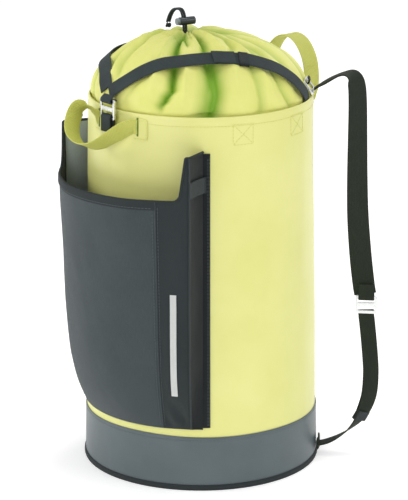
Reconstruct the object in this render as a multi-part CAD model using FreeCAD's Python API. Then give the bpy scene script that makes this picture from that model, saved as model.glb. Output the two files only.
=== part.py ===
import FreeCAD, Part
import math
import os

# Rope storage bag: an upright tarpaulin tube with a gathered drawcord collar, a bellows tool pocket,
# two carrying handles and two shoulder straps. Millimetres and degrees.
# Origin: middle of the base. +Z is up and the pocket faces -Y. An angle round the bag is measured from
# -Y (the pocket) towards +X, so 90 is the bag's +X side and 180 is its back.

V = FreeCAD.Vector
UP = V(0, 0, 1)
ALONG_X = V(1, 0, 0)

# Driving dimensions of the tube
BASE_RADIUS = 148.0
RIM_RADIUS = 140.5
TUBE_HEIGHT = 472.5
TARP = 1.2
BAND_HEIGHT = 69.0
TUBE_LOW_EDGE = 54.0
BASE_DISC = 1.5
PIPING_HEIGHT = 7.0
HEM_HEIGHT = 11.0
LAYER_GAP = 0.1

# Gathered collar: radius and height of its outer face, from the sewn edge to the drawn mouth
COLLAR_PROFILE = [
    (137.9, 461.5), (137.9, 465), (135, 470), (136, 477), (132, 487), (125, 499), (113, 512),
    (97, 526), (81, 536), (63, 545), (47, 548), (30, 546), (14, 541),
]
COLLAR_FABRIC = 1.3
LEAN_START = 470.0
LEAN_TOP = 548.0
LEAN = V(-10.3, -12.3, 0)
MOUTH_HEIGHT = 541.0
MOUTH_RADIUS = 9.2
MOUTH_PIECE_RADIUS = 34.0

# Drawcord and its lock
CORD = 3.0
CORD_SPACING = 1.7
CORD_PLACE = V(-15.5, -12.5, 0)
CORD_ROUTE = [(0, 0, 538), (0, 0, 574.5), (-18.5, -0.5, 575.5), (-27.5, -1.5, 566), (-30.5, -2, 556)]
LOCK_HEIGHT = 561.5
LOCK_HEADING = 13.0
LOCK_LENGTH = 21.0
LOCK_RADIUS = 4.9
LOCK_CORD_AT = 8.0
BUTTON_TRAVEL = 3.0

# Webbing; a long ribbon is lofted in spans of a few stations, which then join
WEBBING = 1.5
SPAN = 2
CLOSURE_WIDTH = 20.0
HANDLE_WIDTH = 25.0
STRAP_WIDTH = 28.0
LOWER_WIDTH = 20.0

# Closure hook: a slotted plate that hangs in front of the rim
HOOK_WIDTH = 28.0
HOOK_HEIGHT = 25.0
HOOK_PLATE = 2.5
HOOK_Y = -147.0
HOOK_TOP_BAR_Z = 484.0
HOOK_LOW_BAR_Z = 463.0
WRAP_INNER = 2.75

# Shoulder strap anchor angle, both sides
STRAP_ANGLE = 133.0

# Pocket: angles of its corner seams and the levels of its sections
POCKET_SEAM = 32.0
POCKET_FOLD = 45.5
POCKET_BACK_EDGE = 51.0
POCKET_FLANGE_EDGE = 54.5
POCKET_CLOTH = 1.4
SEAM_GAP = 0.35
POCKET_MOUTH = 377.0
POCKET_TOP = 431.0
# level: height, radius at the seam, radius at the middle of the front, radius at the fold
POCKET_LEVELS = [
    (80, 149.6, 150.6, 149.4), (115, 158, 170, 160), (160, 166, 180, 169), (253, 172, 186, 172),
    (POCKET_MOUTH, 178, 188, 172.5), (POCKET_TOP, 179, 189, 173),
]


def around(angle, radius, height=0.0):
    """Point at an angle round the bag."""
    a = math.radians(angle)
    return V(radius * math.sin(a), -radius * math.cos(a), height)


def outward(angle):
    return around(angle, 1.0)


def sideways(angle):
    """Horizontal direction of growing angle."""
    a = math.radians(angle)
    return V(math.cos(a), math.sin(a), 0)


def wall_radius(height):
    """Outer radius of the tube's tapering wall."""
    return BASE_RADIUS + (RIM_RADIUS - BASE_RADIUS) * height / TUBE_HEIGHT


def wall_ring(low, high, proud, thickness):
    """Ring that follows the tube's taper, its outer face standing proud of the wall."""
    outer = Part.makeCone(wall_radius(low) + proud, wall_radius(high) + proud, high - low, V(0, 0, low))
    inner = Part.makeCone(wall_radius(low) + proud - thickness, wall_radius(high) + proud - thickness,
                          high - low, V(0, 0, low))
    return outer.cut(inner)


def interpolate(value, pairs):
    """Straight-line interpolation in a list of (key, result) pairs with growing keys."""
    for (k0, r0), (k1, r1) in zip(pairs, pairs[1:]):
        if value <= k1:
            break
    share = min(1.0, max(0.0, (value - k0) / (k1 - k0)))
    return r0 + (r1 - r0) * share


def ribbon(stations, thickness):
    """Flat webbing through stations of (point, width direction, width)."""
    sections = []
    last = len(stations) - 1
    for i, (point, across, width) in enumerate(stations):
        along = (stations[min(i + 1, last)][0] - stations[max(i - 1, 0)][0]).normalize()
        side = (across - along * across.dot(along)).normalize() * (width / 2)
        lift = along.cross(side).normalize() * (thickness / 2)
        corners = [point + side + lift, point - side + lift, point - side - lift, point + side - lift]
        sections.append(Part.makePolygon(corners + corners[:1]))
    spans = [Part.makeLoft(sections[i:i + SPAN + 1], True, True) for i in range(0, last, SPAN)]
    whole = spans[0]
    for span in spans[1:]:
        whole = whole.fuse(span)
    return whole


def rounded_rectangle(width, height, radius, centre=V(0, 0, 0)):
    """Closed wire in the XY plane."""
    w, h, r = width / 2, height / 2, radius
    k = r * (1 - math.sqrt(0.5))
    edges = []
    for sx, sy in ((1, 1), (-1, 1), (-1, -1), (1, -1)):
        a, b, c = V(sx * w, sy * (h - r), 0), V(sx * (w - k), sy * (h - k), 0), V(sx * (w - r), sy * h, 0)
        if sx * sy < 0:
            a, c = c, a
        edges.append((centre + a, centre + b, centre + c))
    pieces = []
    for i, (a, b, c) in enumerate(edges):
        pieces.append(Part.Arc(a, b, c).toShape())
        pieces.append(Part.LineSegment(c, edges[(i + 1) % 4][0]).toShape())
    return Part.Wire(pieces)


def slotted_plate(width, height, thickness, slots):
    """Plate in the XY plane, middle at the origin, with slots of (centre y, width, height)."""
    base = V(0, 0, -thickness / 2)
    plate = Part.Face(rounded_rectangle(width, height, 2.5, base)).extrude(V(0, 0, thickness))
    for y, slot_width, slot_height in slots:
        slot = Part.Face(rounded_rectangle(slot_width, slot_height, 1.2, V(0, y, -thickness)))
        plate = plate.cut(slot.extrude(V(0, 0, 2 * thickness)))
    return plate


def webbing_loop(width, inner_radius, leg):
    """Webbing folded round a bar on the X axis, its two legs running up along +Y."""
    outer_radius = inner_radius + WEBBING - 0.1

    def u_shape(radius):
        arc = Part.Arc(V(0, 0, -radius), V(0, -radius, 0), V(0, 0, radius)).toShape()
        sides = Part.makePolygon([V(0, 0, radius), V(0, leg, radius), V(0, leg, -radius), V(0, 0, -radius)])
        face = Part.Face(Part.Wire([arc] + sides.Edges))
        face.translate(V(-width, 0, 0))
        return face.extrude(V(2 * width, 0, 0))

    loop = u_shape(outer_radius).cut(u_shape(inner_radius))
    return loop.common(Part.makeBox(width, 4 * leg + 40, 40, V(-width / 2, -20, -20)))


def place(shape, origin, x_axis, y_axis):
    """Move a shape drawn in the XY plane onto new axes."""
    x, y = V(x_axis).normalize(), V(y_axis).normalize()
    z = x.cross(y)
    rows = [(x[i], y[i], z[i], origin[i]) for i in range(3)]
    matrix = FreeCAD.Matrix(*rows[0], *rows[1], *rows[2], 0, 0, 0, 1)
    moved = shape.copy()
    moved.Placement = FreeCAD.Placement(matrix).multiply(shape.Placement)
    return moved


def mirrored(shape):
    return shape.mirror(V(0, 0, 0), ALONG_X)


# Tube and base

def tarp_tube():
    return wall_ring(TUBE_LOW_EDGE, TUBE_HEIGHT, 0, TARP)


def rim_hem():
    return wall_ring(TUBE_HEIGHT - HEM_HEIGHT, TUBE_HEIGHT, -TARP - LAYER_GAP, TARP - LAYER_GAP)


def base_band():
    return wall_ring(BASE_DISC + LAYER_GAP, BAND_HEIGHT, TARP, TARP - LAYER_GAP)


def base_piping():
    return wall_ring(0, PIPING_HEIGHT, 2 * TARP + LAYER_GAP, TARP)


def base_disc():
    return Part.makeCylinder(wall_radius(0) + TARP - LAYER_GAP, BASE_DISC)


# Collar

def lean_at(height):
    share = max(0.0, height - LEAN_START) / (LEAN_TOP - LEAN_START)
    return LEAN * share


def collar_skin(profile):
    """Leaning solid of revolution through the profile's circles."""
    circles = []
    for radius, height in profile:
        centre = lean_at(height) + V(0, 0, height)
        circles.append(Part.Wire(Part.makeCircle(radius, centre)))
    return Part.makeLoft(circles, True, True)


def inner_profile():
    """Collar profile moved inwards by the fabric's thickness."""
    moved = []
    last = len(COLLAR_PROFILE) - 1
    for i, (radius, height) in enumerate(COLLAR_PROFILE):
        r0, z0 = COLLAR_PROFILE[max(i - 1, 0)]
        r1, z1 = COLLAR_PROFILE[min(i + 1, last)]
        length = math.hypot(r1 - r0, z1 - z0)
        moved.append((radius - COLLAR_FABRIC * (z1 - z0) / length,
                      height + COLLAR_FABRIC * (r1 - r0) / length))
    first_radius, first_height = moved[0]
    return [(first_radius, first_height - 1)] + moved[1:]


def mouth_centre():
    return lean_at(MOUTH_HEIGHT)


def mouth_cutter(radius):
    return Part.makeCylinder(radius, TUBE_HEIGHT, mouth_centre() + V(0, 0, MOUTH_HEIGHT - 60))


def collar_shell():
    shell = collar_skin(COLLAR_PROFILE).cut(collar_skin(inner_profile()))
    return shell.cut(mouth_cutter(MOUTH_RADIUS))


def collar_pieces():
    shell = collar_shell()
    return {
        "collar": shell.cut(mouth_cutter(MOUTH_PIECE_RADIUS + LAYER_GAP)),
        "collar_mouth": shell.common(mouth_cutter(MOUTH_PIECE_RADIUS)),
    }


# Drawcord

def cord_tube(points, diameter, name):
    """Round cord of straight runs and tangent arcs; each arc is as large as its two runs allow."""
    edges = []
    start = points[0]
    for before, corner, after in zip(points, points[1:], points[2:]):
        run_in, run_out = corner - before, after - corner
        turn = run_in.getAngle(run_out)
        radius = 0.45 * min(run_in.Length, run_out.Length) / math.tan(turn / 2)
        setback = 0.45 * min(run_in.Length, run_out.Length)
        arc_start = corner - V(run_in).normalize() * setback
        arc_end = corner + V(run_out).normalize() * setback
        towards_centre = (V(run_out).normalize() - V(run_in).normalize()).normalize()
        centre = corner + towards_centre * (radius / math.cos(turn / 2))
        arc_middle = centre - towards_centre * radius
        edges.append(Part.LineSegment(start, arc_start).toShape())
        edges.append(Part.Arc(arc_start, arc_middle, arc_end).toShape())
        start = arc_end
        print(name, "arc radius", round(radius, 1))
    edges.append(Part.LineSegment(start, points[-1]).toShape())
    path = Part.Wire(edges)
    circle = Part.Wire(Part.makeCircle(diameter / 2, points[0], points[1] - points[0]))
    tube = path.makePipeShell([circle], True, True)
    expected = path.Length * math.pi * diameter ** 2 / 4
    print(name, "length", round(path.Length, 1), "volume ratio", round(tube.Volume / expected, 4))
    return tube


def lock_axis():
    a = math.radians(LOCK_HEADING)
    return V(math.sin(a), math.cos(a), 0)


def drawcord_strand(side):
    offset = CORD_PLACE + lock_axis() * (side * CORD_SPACING)
    points = [offset + V(*point) for point in CORD_ROUTE]
    return cord_tube(points, CORD, "drawcord strand")


def drawcord_knot():
    """Both strands end in one knot that lies on the collar."""
    knot_radius = 3.6
    end = CORD_PLACE + V(*CORD_ROUTE[-1])
    knot = Part.makeSphere(knot_radius, end - V(0, 0, knot_radius + 0.3))
    return knot.cut(Part.makeBox(20, 20, 3, end + V(-10, -10, -0.05)))


def drawcord_channel_loop():
    """Stretch of the cord that stays in the collar's mouth tunnel."""
    centre = mouth_centre() + V(0, 0, MOUTH_HEIGHT - COLLAR_FABRIC - CORD / 2 - 1.2)
    return Part.makeTorus(15.0, CORD / 2, centre, UP)


def lock_local(shape):
    """Bring a piece drawn along +Z into the lock, its open end first."""
    axis = lock_axis()
    origin = CORD_PLACE + V(0, 0, LOCK_HEIGHT) - axis * LOCK_CORD_AT
    return place(shape, origin, axis.cross(UP), UP * -1)


def cord_slot(start, end, width):
    return Part.makeBox(width, 20, end - start, V(-width / 2, -10, start))


def lock_slot_ends():
    half = CORD_SPACING + CORD / 2 + 0.4
    return LOCK_CORD_AT - half, LOCK_CORD_AT + half


def cord_lock_barrel():
    body = Part.makeCylinder(LOCK_RADIUS, LOCK_LENGTH)
    body = body.makeFillet(1.0, [body.Edges[0]])
    body = body.cut(Part.makeCylinder(4.45, 3.4)).cut(Part.makeCylinder(3.55, LOCK_LENGTH - 2.5))
    start, end = lock_slot_ends()
    return lock_local(body.cut(cord_slot(start, end, CORD + 0.9)))


def cord_lock_button():
    cap_length = 4.0
    plunger_end = 12.7
    cap = Part.makeCylinder(4.2, cap_length, V(0, 0, -cap_length))
    plunger = Part.makeCylinder(3.3, plunger_end + 1, V(0, 0, -1))
    start, end = lock_slot_ends()
    body = cap.fuse(plunger).removeSplitter().cut(cord_slot(start - BUTTON_TRAVEL, end, CORD + 0.9))
    return lock_local(body)


def cord_lock_spring():
    """Envelope of the coil spring, at its pressed length."""
    low = 15.8
    high = LOCK_LENGTH - 2.6
    coil = Part.makeCylinder(3.1, high - low, V(0, 0, low))
    return lock_local(coil.cut(Part.makeCylinder(2.2, high - low, V(0, 0, low))))


# Closure strap: one webbing through the hook, its two halves over the collar

STRAP_RIGHT_ROUTE = [
    (-3, 489), (7, 504), (17, 517), (28, 525), (40, 528.5), (53, 530.5), (67, 530.5), (75, 529.3),
    (82, 527.5), (87.5, 525), (93, 522.5), (105, 511), (113.5, 497), (118.5, 484),
]
STRAP_LEFT_ROUTE = [
    (-7, 492), (-12, 501), (-18, 508.5), (-26, 513), (-37, 515), (-49, 516), (-63, 516.5), (-78, 515.5),
    (-92, 511.5), (-104, 504), (-113, 495), (-118.5, 485),
]
STRAP_LIFT = 3.2
TAIL_ROUTE = [(66.5, 530.5), (75, 529.3), (82, 527.5)]
KEEPER_ROUTE = [(84.5, 526.4), (87.5, 525.0), (90.5, 523.6)]
KEEPER_OPENING = [(82, 527.5), (87.5, 525.0), (93, 522.5)]


def collar_point(angle, height, lift):
    """Point above the collar's outer face, and the face's outward normal there."""
    upright = [(z, r) for r, z in COLLAR_PROFILE if z <= LEAN_TOP][:11]
    radius = interpolate(height, upright)
    slope = (interpolate(height + 2, upright) - interpolate(height - 2, upright)) / 4
    normal = (outward(angle) - UP * slope).normalize()
    return lean_at(height) + around(angle, radius, height) + normal * lift, normal


def over_collar(route, lift, width, thickness):
    """Webbing laid over the collar through (angle, height) places."""
    placed = [collar_point(angle, height, lift) for angle, height in route]
    stations = []
    last = len(placed) - 1
    for i, (point, normal) in enumerate(placed):
        along = placed[min(i + 1, last)][0] - placed[max(i - 1, 0)][0]
        stations.append((point, normal.cross(along), width))
    return stations, ribbon(stations, thickness)


def tucked_end(stations, sign):
    """The strap's last stretch, between the collar and the hem."""
    tuck_radius = 136.7
    below = around(sign * 120.5, tuck_radius + 0.6, 477)
    bottom = around(sign * 121, tuck_radius, 469)
    return stations + [(below, sideways(sign * 120), 19.0), (bottom, sideways(sign * 120), 18.0)]


def closure_straps():
    made = {}
    for name, route, sign in (("right", STRAP_RIGHT_ROUTE, 1), ("left", STRAP_LEFT_ROUTE, -1)):
        stations, _ = over_collar(route, STRAP_LIFT, CLOSURE_WIDTH, WEBBING)
        if stations[-1][1].dot(sideways(sign * 120)) < 0:
            stations = [(point, across * -1, width) for point, across, width in stations]
        made["closure_strap_" + name] = ribbon(tucked_end(stations, sign), WEBBING)
    return made


def closure_strap_wrap():
    """The strap's fold round the hook's top bar."""
    lead_angle, leg = math.radians(35), 5.8
    loop = webbing_loop(CLOSURE_WIDTH - 0.5, WRAP_INNER, leg)
    towards_collar = V(0, math.cos(lead_angle), math.sin(lead_angle))
    return place(loop, V(0, HOOK_Y, HOOK_TOP_BAR_Z), ALONG_X, towards_collar)


def strap_tail_fold():
    return over_collar(TAIL_ROUTE, STRAP_LIFT + WEBBING + 0.2, CLOSURE_WIDTH, WEBBING)[1]


def strap_keeper():
    lift = STRAP_LIFT + 0.1
    outer = over_collar(KEEPER_ROUTE, lift, CLOSURE_WIDTH + 2.8, WEBBING + 2.6)[1]
    inner = over_collar(KEEPER_OPENING, lift, CLOSURE_WIDTH + 0.8, WEBBING + 0.6)[1]
    return outer.cut(inner)


# Hook, its pull tab and the loop on the rim

def closure_hook():
    centre_z = HOOK_TOP_BAR_Z + 2 - HOOK_HEIGHT / 2
    plate = slotted_plate(HOOK_WIDTH, HOOK_HEIGHT, HOOK_PLATE, [(5.5, 21, 6), (-5.75, 21, 5.5)])
    plate = place(plate, V(0, HOOK_Y, centre_z), ALONG_X, UP)
    tongue = Part.makeBox(8, 4.6, 2.4, V(-4, HOOK_Y + 1, 470.6))
    return plate.fuse(tongue).removeSplitter()


def hook_pull_tab():
    loop = webbing_loop(18.0, WRAP_INNER, 20.0)
    return place(loop, V(0, HOOK_Y, HOOK_LOW_BAR_Z), ALONG_X, UP * -1)


def rim_loop():
    tab = Part.makeBox(16, 1.2, 21, V(-8, -142.4, 456))
    return tab.cut(Part.makeBox(11, 4, 7.5, V(-5.5, -144, 468)))


# Carrying handles

HANDLE_LEVEL = 452.0
FRONT_AXIS_Y = -146.0
BACK_AXIS_Y = 150.5
FRONT_DROOP = 33.0
FRONT_LOOP = [
    (-36, 0), (-45, 8), (-50, 20), (-47, 32), (-36, 38), (-20, 37), (0, 30), (18, 20), (32, 9), (40, 0),
]
BACK_LOOP = [(-38, 0), (-38.5, 14), (-38, 32), (-32, 52), (-18, 68), (0, 74)]
PATCH_REACH = 13.0
PATCH_HEIGHT = 30.0


def handle_loop(outline, origin, reach):
    """Webbing loop; outline gives places along X and along the reach direction."""
    across = ALONG_X.cross(reach)
    stations = []
    for i, (x, out) in enumerate(outline):
        at_end = i in (0, len(outline) - 1)
        stations.append((origin + V(x, 0, 0) + reach * out, across, 14.0 if at_end else HANDLE_WIDTH))
    return ribbon(stations, WEBBING)


def front_handle():
    droop = math.radians(FRONT_DROOP)
    reach = V(0, -math.cos(droop), -math.sin(droop))
    return handle_loop(FRONT_LOOP, V(0, FRONT_AXIS_Y, HANDLE_LEVEL), reach)


def back_handle():
    outline = BACK_LOOP + [(-x, out) for x, out in reversed(BACK_LOOP[:-1])]
    return handle_loop(outline, V(0, BACK_AXIS_Y, HANDLE_LEVEL), UP)


def handle_ends(places, axis_y):
    """Sewn ends of a handle: short webbing tongues from the patches out to the loop."""
    half_height = 8.0
    solids = []
    for x in places:
        wall = math.copysign(math.sqrt(wall_radius(HANDLE_LEVEL) ** 2 - x * x) + 2 * TARP, axis_y)
        low, high = sorted((wall, axis_y + math.copysign(5, axis_y)))
        solids.append(Part.makeBox(WEBBING, high - low, 2 * half_height,
                                   V(x - WEBBING / 2, low, HANDLE_LEVEL - half_height)))
    return Part.makeCompound(solids)


def wall_patch(angle, half_width, low, high, proud, thickness):
    """Rounded patch that lies on the tube's wall."""
    ring = wall_ring(low, high, proud, thickness)
    outline = rounded_rectangle(2 * half_width, high - low, 4.0)
    prism = Part.Face(outline).extrude(V(0, 0, 60))
    centre = around(angle, RIM_RADIUS - 30, (low + high) / 2)
    return ring.common(place(prism, centre, sideways(angle), UP))


def handle_patches(angles):
    low, high = HANDLE_LEVEL - PATCH_HEIGHT / 2, HANDLE_LEVEL + PATCH_HEIGHT / 2
    return Part.makeCompound([wall_patch(angle, PATCH_REACH, low, high, TARP + LAYER_GAP, TARP)
                              for angle in angles])


def inner_loop():
    """Horizontal gear loop inside the tube, sewn through the wall at both ends."""
    route = [(66, 138.5), (71, 138.5), (76, 135.5), (83, 130.5), (90, 128.8), (97, 130.5), (104, 135.5),
             (109, 138.5), (113, 138.5)]
    stations = [(around(angle, radius, 448.5), UP, 24.0) for angle, radius in route]
    return ribbon(stations, WEBBING)


# Tool pocket

def pocket_section(level):
    height, seam, middle, fold = level
    return {
        "seam": around(POCKET_SEAM, seam, height),
        "middle": around(0, middle, height),
        "fold": around(POCKET_FOLD, fold, height),
        "back": around(POCKET_BACK_EDGE, wall_radius(height) + 2.6, height),
    }


def cloth_strip(start, end, thickness, start_trim, end_trim):
    """Thin four-sided outline between two points of one level; the cloth lies on the bag's side."""
    along = (end - start).normalize()
    inward = UP.cross(along) * thickness
    a, b = start + along * start_trim, end - along * end_trim
    return Part.makePolygon([a, b, b + inward, a + inward, a])


def strip_panel(first, second, start_trim):
    wires = []
    for level in POCKET_LEVELS:
        section = pocket_section(level)
        wires.append(cloth_strip(section[first], section[second], POCKET_CLOTH, start_trim, SEAM_GAP))
    return Part.makeLoft(wires, True, True)


def front_arc_wire(level, outset, thickness):
    """Outline of the curved front between its two seams at one level."""
    height, seam, middle, _ = level
    inner_outer = []
    for depth in (outset, outset - thickness):
        right = around(POCKET_SEAM - 0.3, seam + depth, height)
        left = around(0.3 - POCKET_SEAM, seam + depth, height)
        inner_outer.append((left, around(0, middle + depth, height), right))
    (la, ma, ra), (lb, mb, rb) = inner_outer
    edges = [Part.Arc(la, ma, ra).toShape(), Part.LineSegment(ra, rb).toShape(),
             Part.Arc(rb, mb, lb).toShape(), Part.LineSegment(lb, la).toShape()]
    return Part.Wire(edges)


def pocket_front_panel():
    levels = POCKET_LEVELS[:-1]
    return Part.makeLoft([front_arc_wire(level, 0, POCKET_CLOTH) for level in levels], True, True)


def scoop_cutter():
    """Prism that cuts the side panel's top down to the mouth."""
    section = pocket_section(POCKET_LEVELS[-2])
    start, end = section["seam"], section["fold"]
    along = V(end.x - start.x, end.y - start.y, 0)
    low, top = POCKET_MOUTH, POCKET_TOP + 20
    rise = Part.Arc(V(19, low, 0), V(25.5, low + 3, 0), V(29, low + 11, 0)).toShape()
    path = Part.makePolygon([V(29, low + 11, 0), V(38, POCKET_TOP + 0.5, 0), V(38, top, 0), V(-20, top, 0),
                             V(-20, low, 0), V(19, low, 0)])
    face = Part.Face(Part.Wire([rise] + path.Edges))
    prism = face.extrude(V(0, 0, 60))
    prism.translate(V(0, 0, -30))
    return place(prism, V(start.x, start.y, 0), along, UP)


def pocket_side_panel():
    return strip_panel("seam", "fold", SEAM_GAP).cut(scoop_cutter())


def pocket_gusset():
    return strip_panel("fold", "back", SEAM_GAP + 1.2 * POCKET_CLOTH)


def pocket_flange():
    low, high = POCKET_LEVELS[0][0] + 5, POCKET_TOP - 4
    middle = (POCKET_BACK_EDGE + POCKET_FLANGE_EDGE) / 2
    half_width = math.radians(POCKET_FLANGE_EDGE - POCKET_BACK_EDGE) / 2 * wall_radius(250)
    return wall_patch(middle, half_width, low, high, POCKET_CLOTH + 0.2, POCKET_CLOTH)


def pocket_mouth_binding():
    """Tape folded over the front's top edge, drawn as its outer layer."""
    tape_height = 11.0
    top = POCKET_LEVELS[-2]
    below = (POCKET_MOUTH - tape_height, interpolate(tape_height, [(0, 178), (124, 172)]),
             interpolate(tape_height, [(0, 188), (124, 186)]), 0)
    wires = [front_arc_wire(level, 1.3, 1.1) for level in (below, top)]
    return Part.makeLoft(wires, True, True)


SIDE_TAB_HEIGHTS = (381, 401)


def pocket_side_tab():
    """Webbing tab sewn across the gusset, from the fold to the flange."""
    wires = []
    for height in SIDE_TAB_HEIGHTS:
        seam = interpolate(height, [(253, 172.0), (POCKET_MOUTH, 178.0)])
        fold = interpolate(height, [(POCKET_MOUTH, 172.5), (POCKET_TOP, 173.0)])
        section = pocket_section((height, seam, 0, fold))
        start, end = section["fold"], section["back"]
        outside = (end - start).normalize().cross(UP) * 1.4
        wires.append(cloth_strip(start + outside, end + outside, 1.2, 1.5, 1.5))
    return Part.makeLoft(wires, True, True)


# Shoulder strap, drawn on the +X side: (radius, height, twist, width); twist 0 lies along the wall,
# 90 stands straight out from it

STRAP_ROUTE = [
    (148, 485, 0, 14), (154, 488, 0, 24), (163, 494, 5, STRAP_WIDTH), (174, 499.5, 14, STRAP_WIDTH),
    (183, 500.5, 26, STRAP_WIDTH), (190, 496, 38, STRAP_WIDTH), (194, 485, 46, STRAP_WIDTH),
    (195.5, 462, 50, STRAP_WIDTH), (196, 420, 55, STRAP_WIDTH), (196.5, 370, 62, STRAP_WIDTH),
    (198, 320, 70, STRAP_WIDTH), (202, 270, 80, STRAP_WIDTH), (206.5, 232, 88, STRAP_WIDTH),
    (209, 217, 90, STRAP_WIDTH),
]
LOWER_ROUTE = [
    (210.5, 190.5, 90), (213, 170, 90), (216.5, 135, 90), (218, 109, 85), (216, 80, 70), (207, 54, 48),
    (193, 36, 26), (178, 24.5, 10), (166, 18, 0), (159.5, 13.5, 0),
]


def strap_point(radius, height):
    return around(STRAP_ANGLE, radius, height)


def twisted(twist):
    t = math.radians(twist)
    return sideways(STRAP_ANGLE) * math.cos(t) + outward(STRAP_ANGLE) * math.sin(t)


def shoulder_strap():
    stations = [(strap_point(r, z), twisted(twist), width) for r, z, twist, width in STRAP_ROUTE]
    return ribbon(stations, 2.0)


ADJUSTER_CENTRE = (210.5, 203.0)


def adjuster_place(shape, height_offset=0.0):
    origin = strap_point(ADJUSTER_CENTRE[0], ADJUSTER_CENTRE[1] + height_offset)
    return place(shape, origin, outward(STRAP_ANGLE), UP)


def adjuster():
    return adjuster_place(slotted_plate(27, 23, 2.6, [(5.2, 21.5, 4.6), (-5.2, 21.5, 4.6)]))


def adjuster_loop():
    bar_offset, inner_radius, leg = 9.5, 2.5, 18.0
    return adjuster_place(webbing_loop(LOWER_WIDTH, inner_radius, leg), bar_offset)


def lower_stations(offset, points):
    """Stations beside the lower webbing, moved out of its face by an offset."""
    stations = []
    for radius, height, twist in points:
        face = twisted(twist).cross(UP).normalize()
        stations.append((strap_point(radius, height) + face * offset, twisted(twist), LOWER_WIDTH))
    return stations


def lower_webbing():
    return ribbon(lower_stations(0, LOWER_ROUTE), WEBBING)


def webbing_tail():
    route = LOWER_ROUTE[1:7]
    return ribbon(lower_stations(-WEBBING - 0.9, route), WEBBING)


def webbing_keeper():
    """Elastic band round the lower webbing and its tail."""
    middle = [(209.6, 61, 52), (207, 54, 48), (203.3, 49, 42)]
    outer = ribbon([(p, w, 23.5) for p, w, _ in lower_stations(-1.2, middle)], 6.6)
    wider = [(212.5, 68, 58), (207, 54, 48), (199.5, 43.5, 35)]
    inner = ribbon([(p, w, 21.2) for p, w, _ in lower_stations(-1.2, wider)], 4.6)
    return outer.cut(inner)


def base_anchor_tab():
    """Sewn tab on the base band that holds the lower webbing's end."""
    outline = Part.Face(rounded_rectangle(24, 16, 3)).extrude(V(0, 0, 2.4))
    return place(outline, strap_point(BASE_RADIUS + 2 * TARP + 0.6, 16.5), sideways(STRAP_ANGLE), UP)


# The strap rings lie on the collar's slope; the left one lies higher, because the collar leans that way
RING_CENTRE = (135.0, 484.5)
RING_SLOPE = 55.0
LEFT_RING_LIFT = 3.7


def ring_frame(lift):
    slope = math.radians(RING_SLOPE)
    down = outward(STRAP_ANGLE) * math.cos(slope) - UP * math.sin(slope)
    clear = outward(STRAP_ANGLE) * math.sin(slope) + UP * math.cos(slope)
    return strap_point(*RING_CENTRE) + clear * lift, sideways(STRAP_ANGLE), down


def strap_ring(lift):
    origin, across, down = ring_frame(lift)
    return place(slotted_plate(31, 20, 2.8, [(0, 23, 12)]), origin, across, down)


def ring_anchor(lift):
    """Webbing loop that holds the ring's inner bar."""
    origin, across, down = ring_frame(lift)
    loop = webbing_loop(12.0, 2.6, 3.0)
    return place(loop, origin - down * 8.0, across, down * -1)


def build():
    parts = {
        "tarp_tube": tarp_tube(),
        "rim_hem": rim_hem(),
        "base_band": base_band(),
        "base_piping": base_piping(),
        "base_disc": base_disc(),
        "drawcord_channel_loop": drawcord_channel_loop(),
        "drawcord_strand_front": drawcord_strand(-1),
        "drawcord_strand_rear": drawcord_strand(1),
        "drawcord_knot": drawcord_knot(),
        "cord_lock_barrel": cord_lock_barrel(),
        "cord_lock_button": cord_lock_button(),
        "cord_lock_spring": cord_lock_spring(),
        "closure_strap_wrap": closure_strap_wrap(),
        "strap_tail_fold": strap_tail_fold(),
        "strap_keeper": strap_keeper(),
        "closure_hook": closure_hook(),
        "hook_pull_tab": hook_pull_tab(),
        "rim_loop": rim_loop(),
        "front_handle": front_handle(),
        "front_handle_ends": handle_ends((-33.6, 42.6), FRONT_AXIS_Y),
        "front_handle_patches": handle_patches((-13.0, 17.5)),
        "back_handle": back_handle(),
        "back_handle_ends": handle_ends((-35.4, 35.4), BACK_AXIS_Y),
        "back_handle_patches": handle_patches((165.0, 195.0)),
        "pocket_front_panel": pocket_front_panel(),
        "pocket_mouth_binding": pocket_mouth_binding(),
    }
    parts.update(collar_pieces())
    parts.update(closure_straps())
    both_sides = {
        "inner_loop": inner_loop(),
        "pocket_side_panel": pocket_side_panel(),
        "pocket_gusset": pocket_gusset(),
        "pocket_flange": pocket_flange(),
        "pocket_side_tab": pocket_side_tab(),
        "shoulder_strap": shoulder_strap(),
        "adjuster": adjuster(),
        "adjuster_loop": adjuster_loop(),
        "lower_webbing": lower_webbing(),
        "webbing_tail": webbing_tail(),
        "webbing_keeper": webbing_keeper(),
        "base_anchor_tab": base_anchor_tab(),
    }
    for name, shape in both_sides.items():
        parts[name + "_right"] = shape
        parts[name + "_left"] = mirrored(shape)
    for name, make in (("strap_ring", strap_ring), ("ring_anchor", ring_anchor)):
        parts[name + "_right"] = make(0)
        parts[name + "_left"] = mirrored(make(LEFT_RING_LIFT))
    return parts


os.makedirs("parts", exist_ok=True)
for node, shape in build().items():
    solids = len(shape.Solids)
    print(node, "solids", solids, "volume", round(shape.Volume, 1), "valid", shape.isValid())
    shape.exportStep("parts/" + node + ".step")
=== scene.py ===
import math
import random

import bmesh
import bpy
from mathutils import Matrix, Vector, noise


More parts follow.
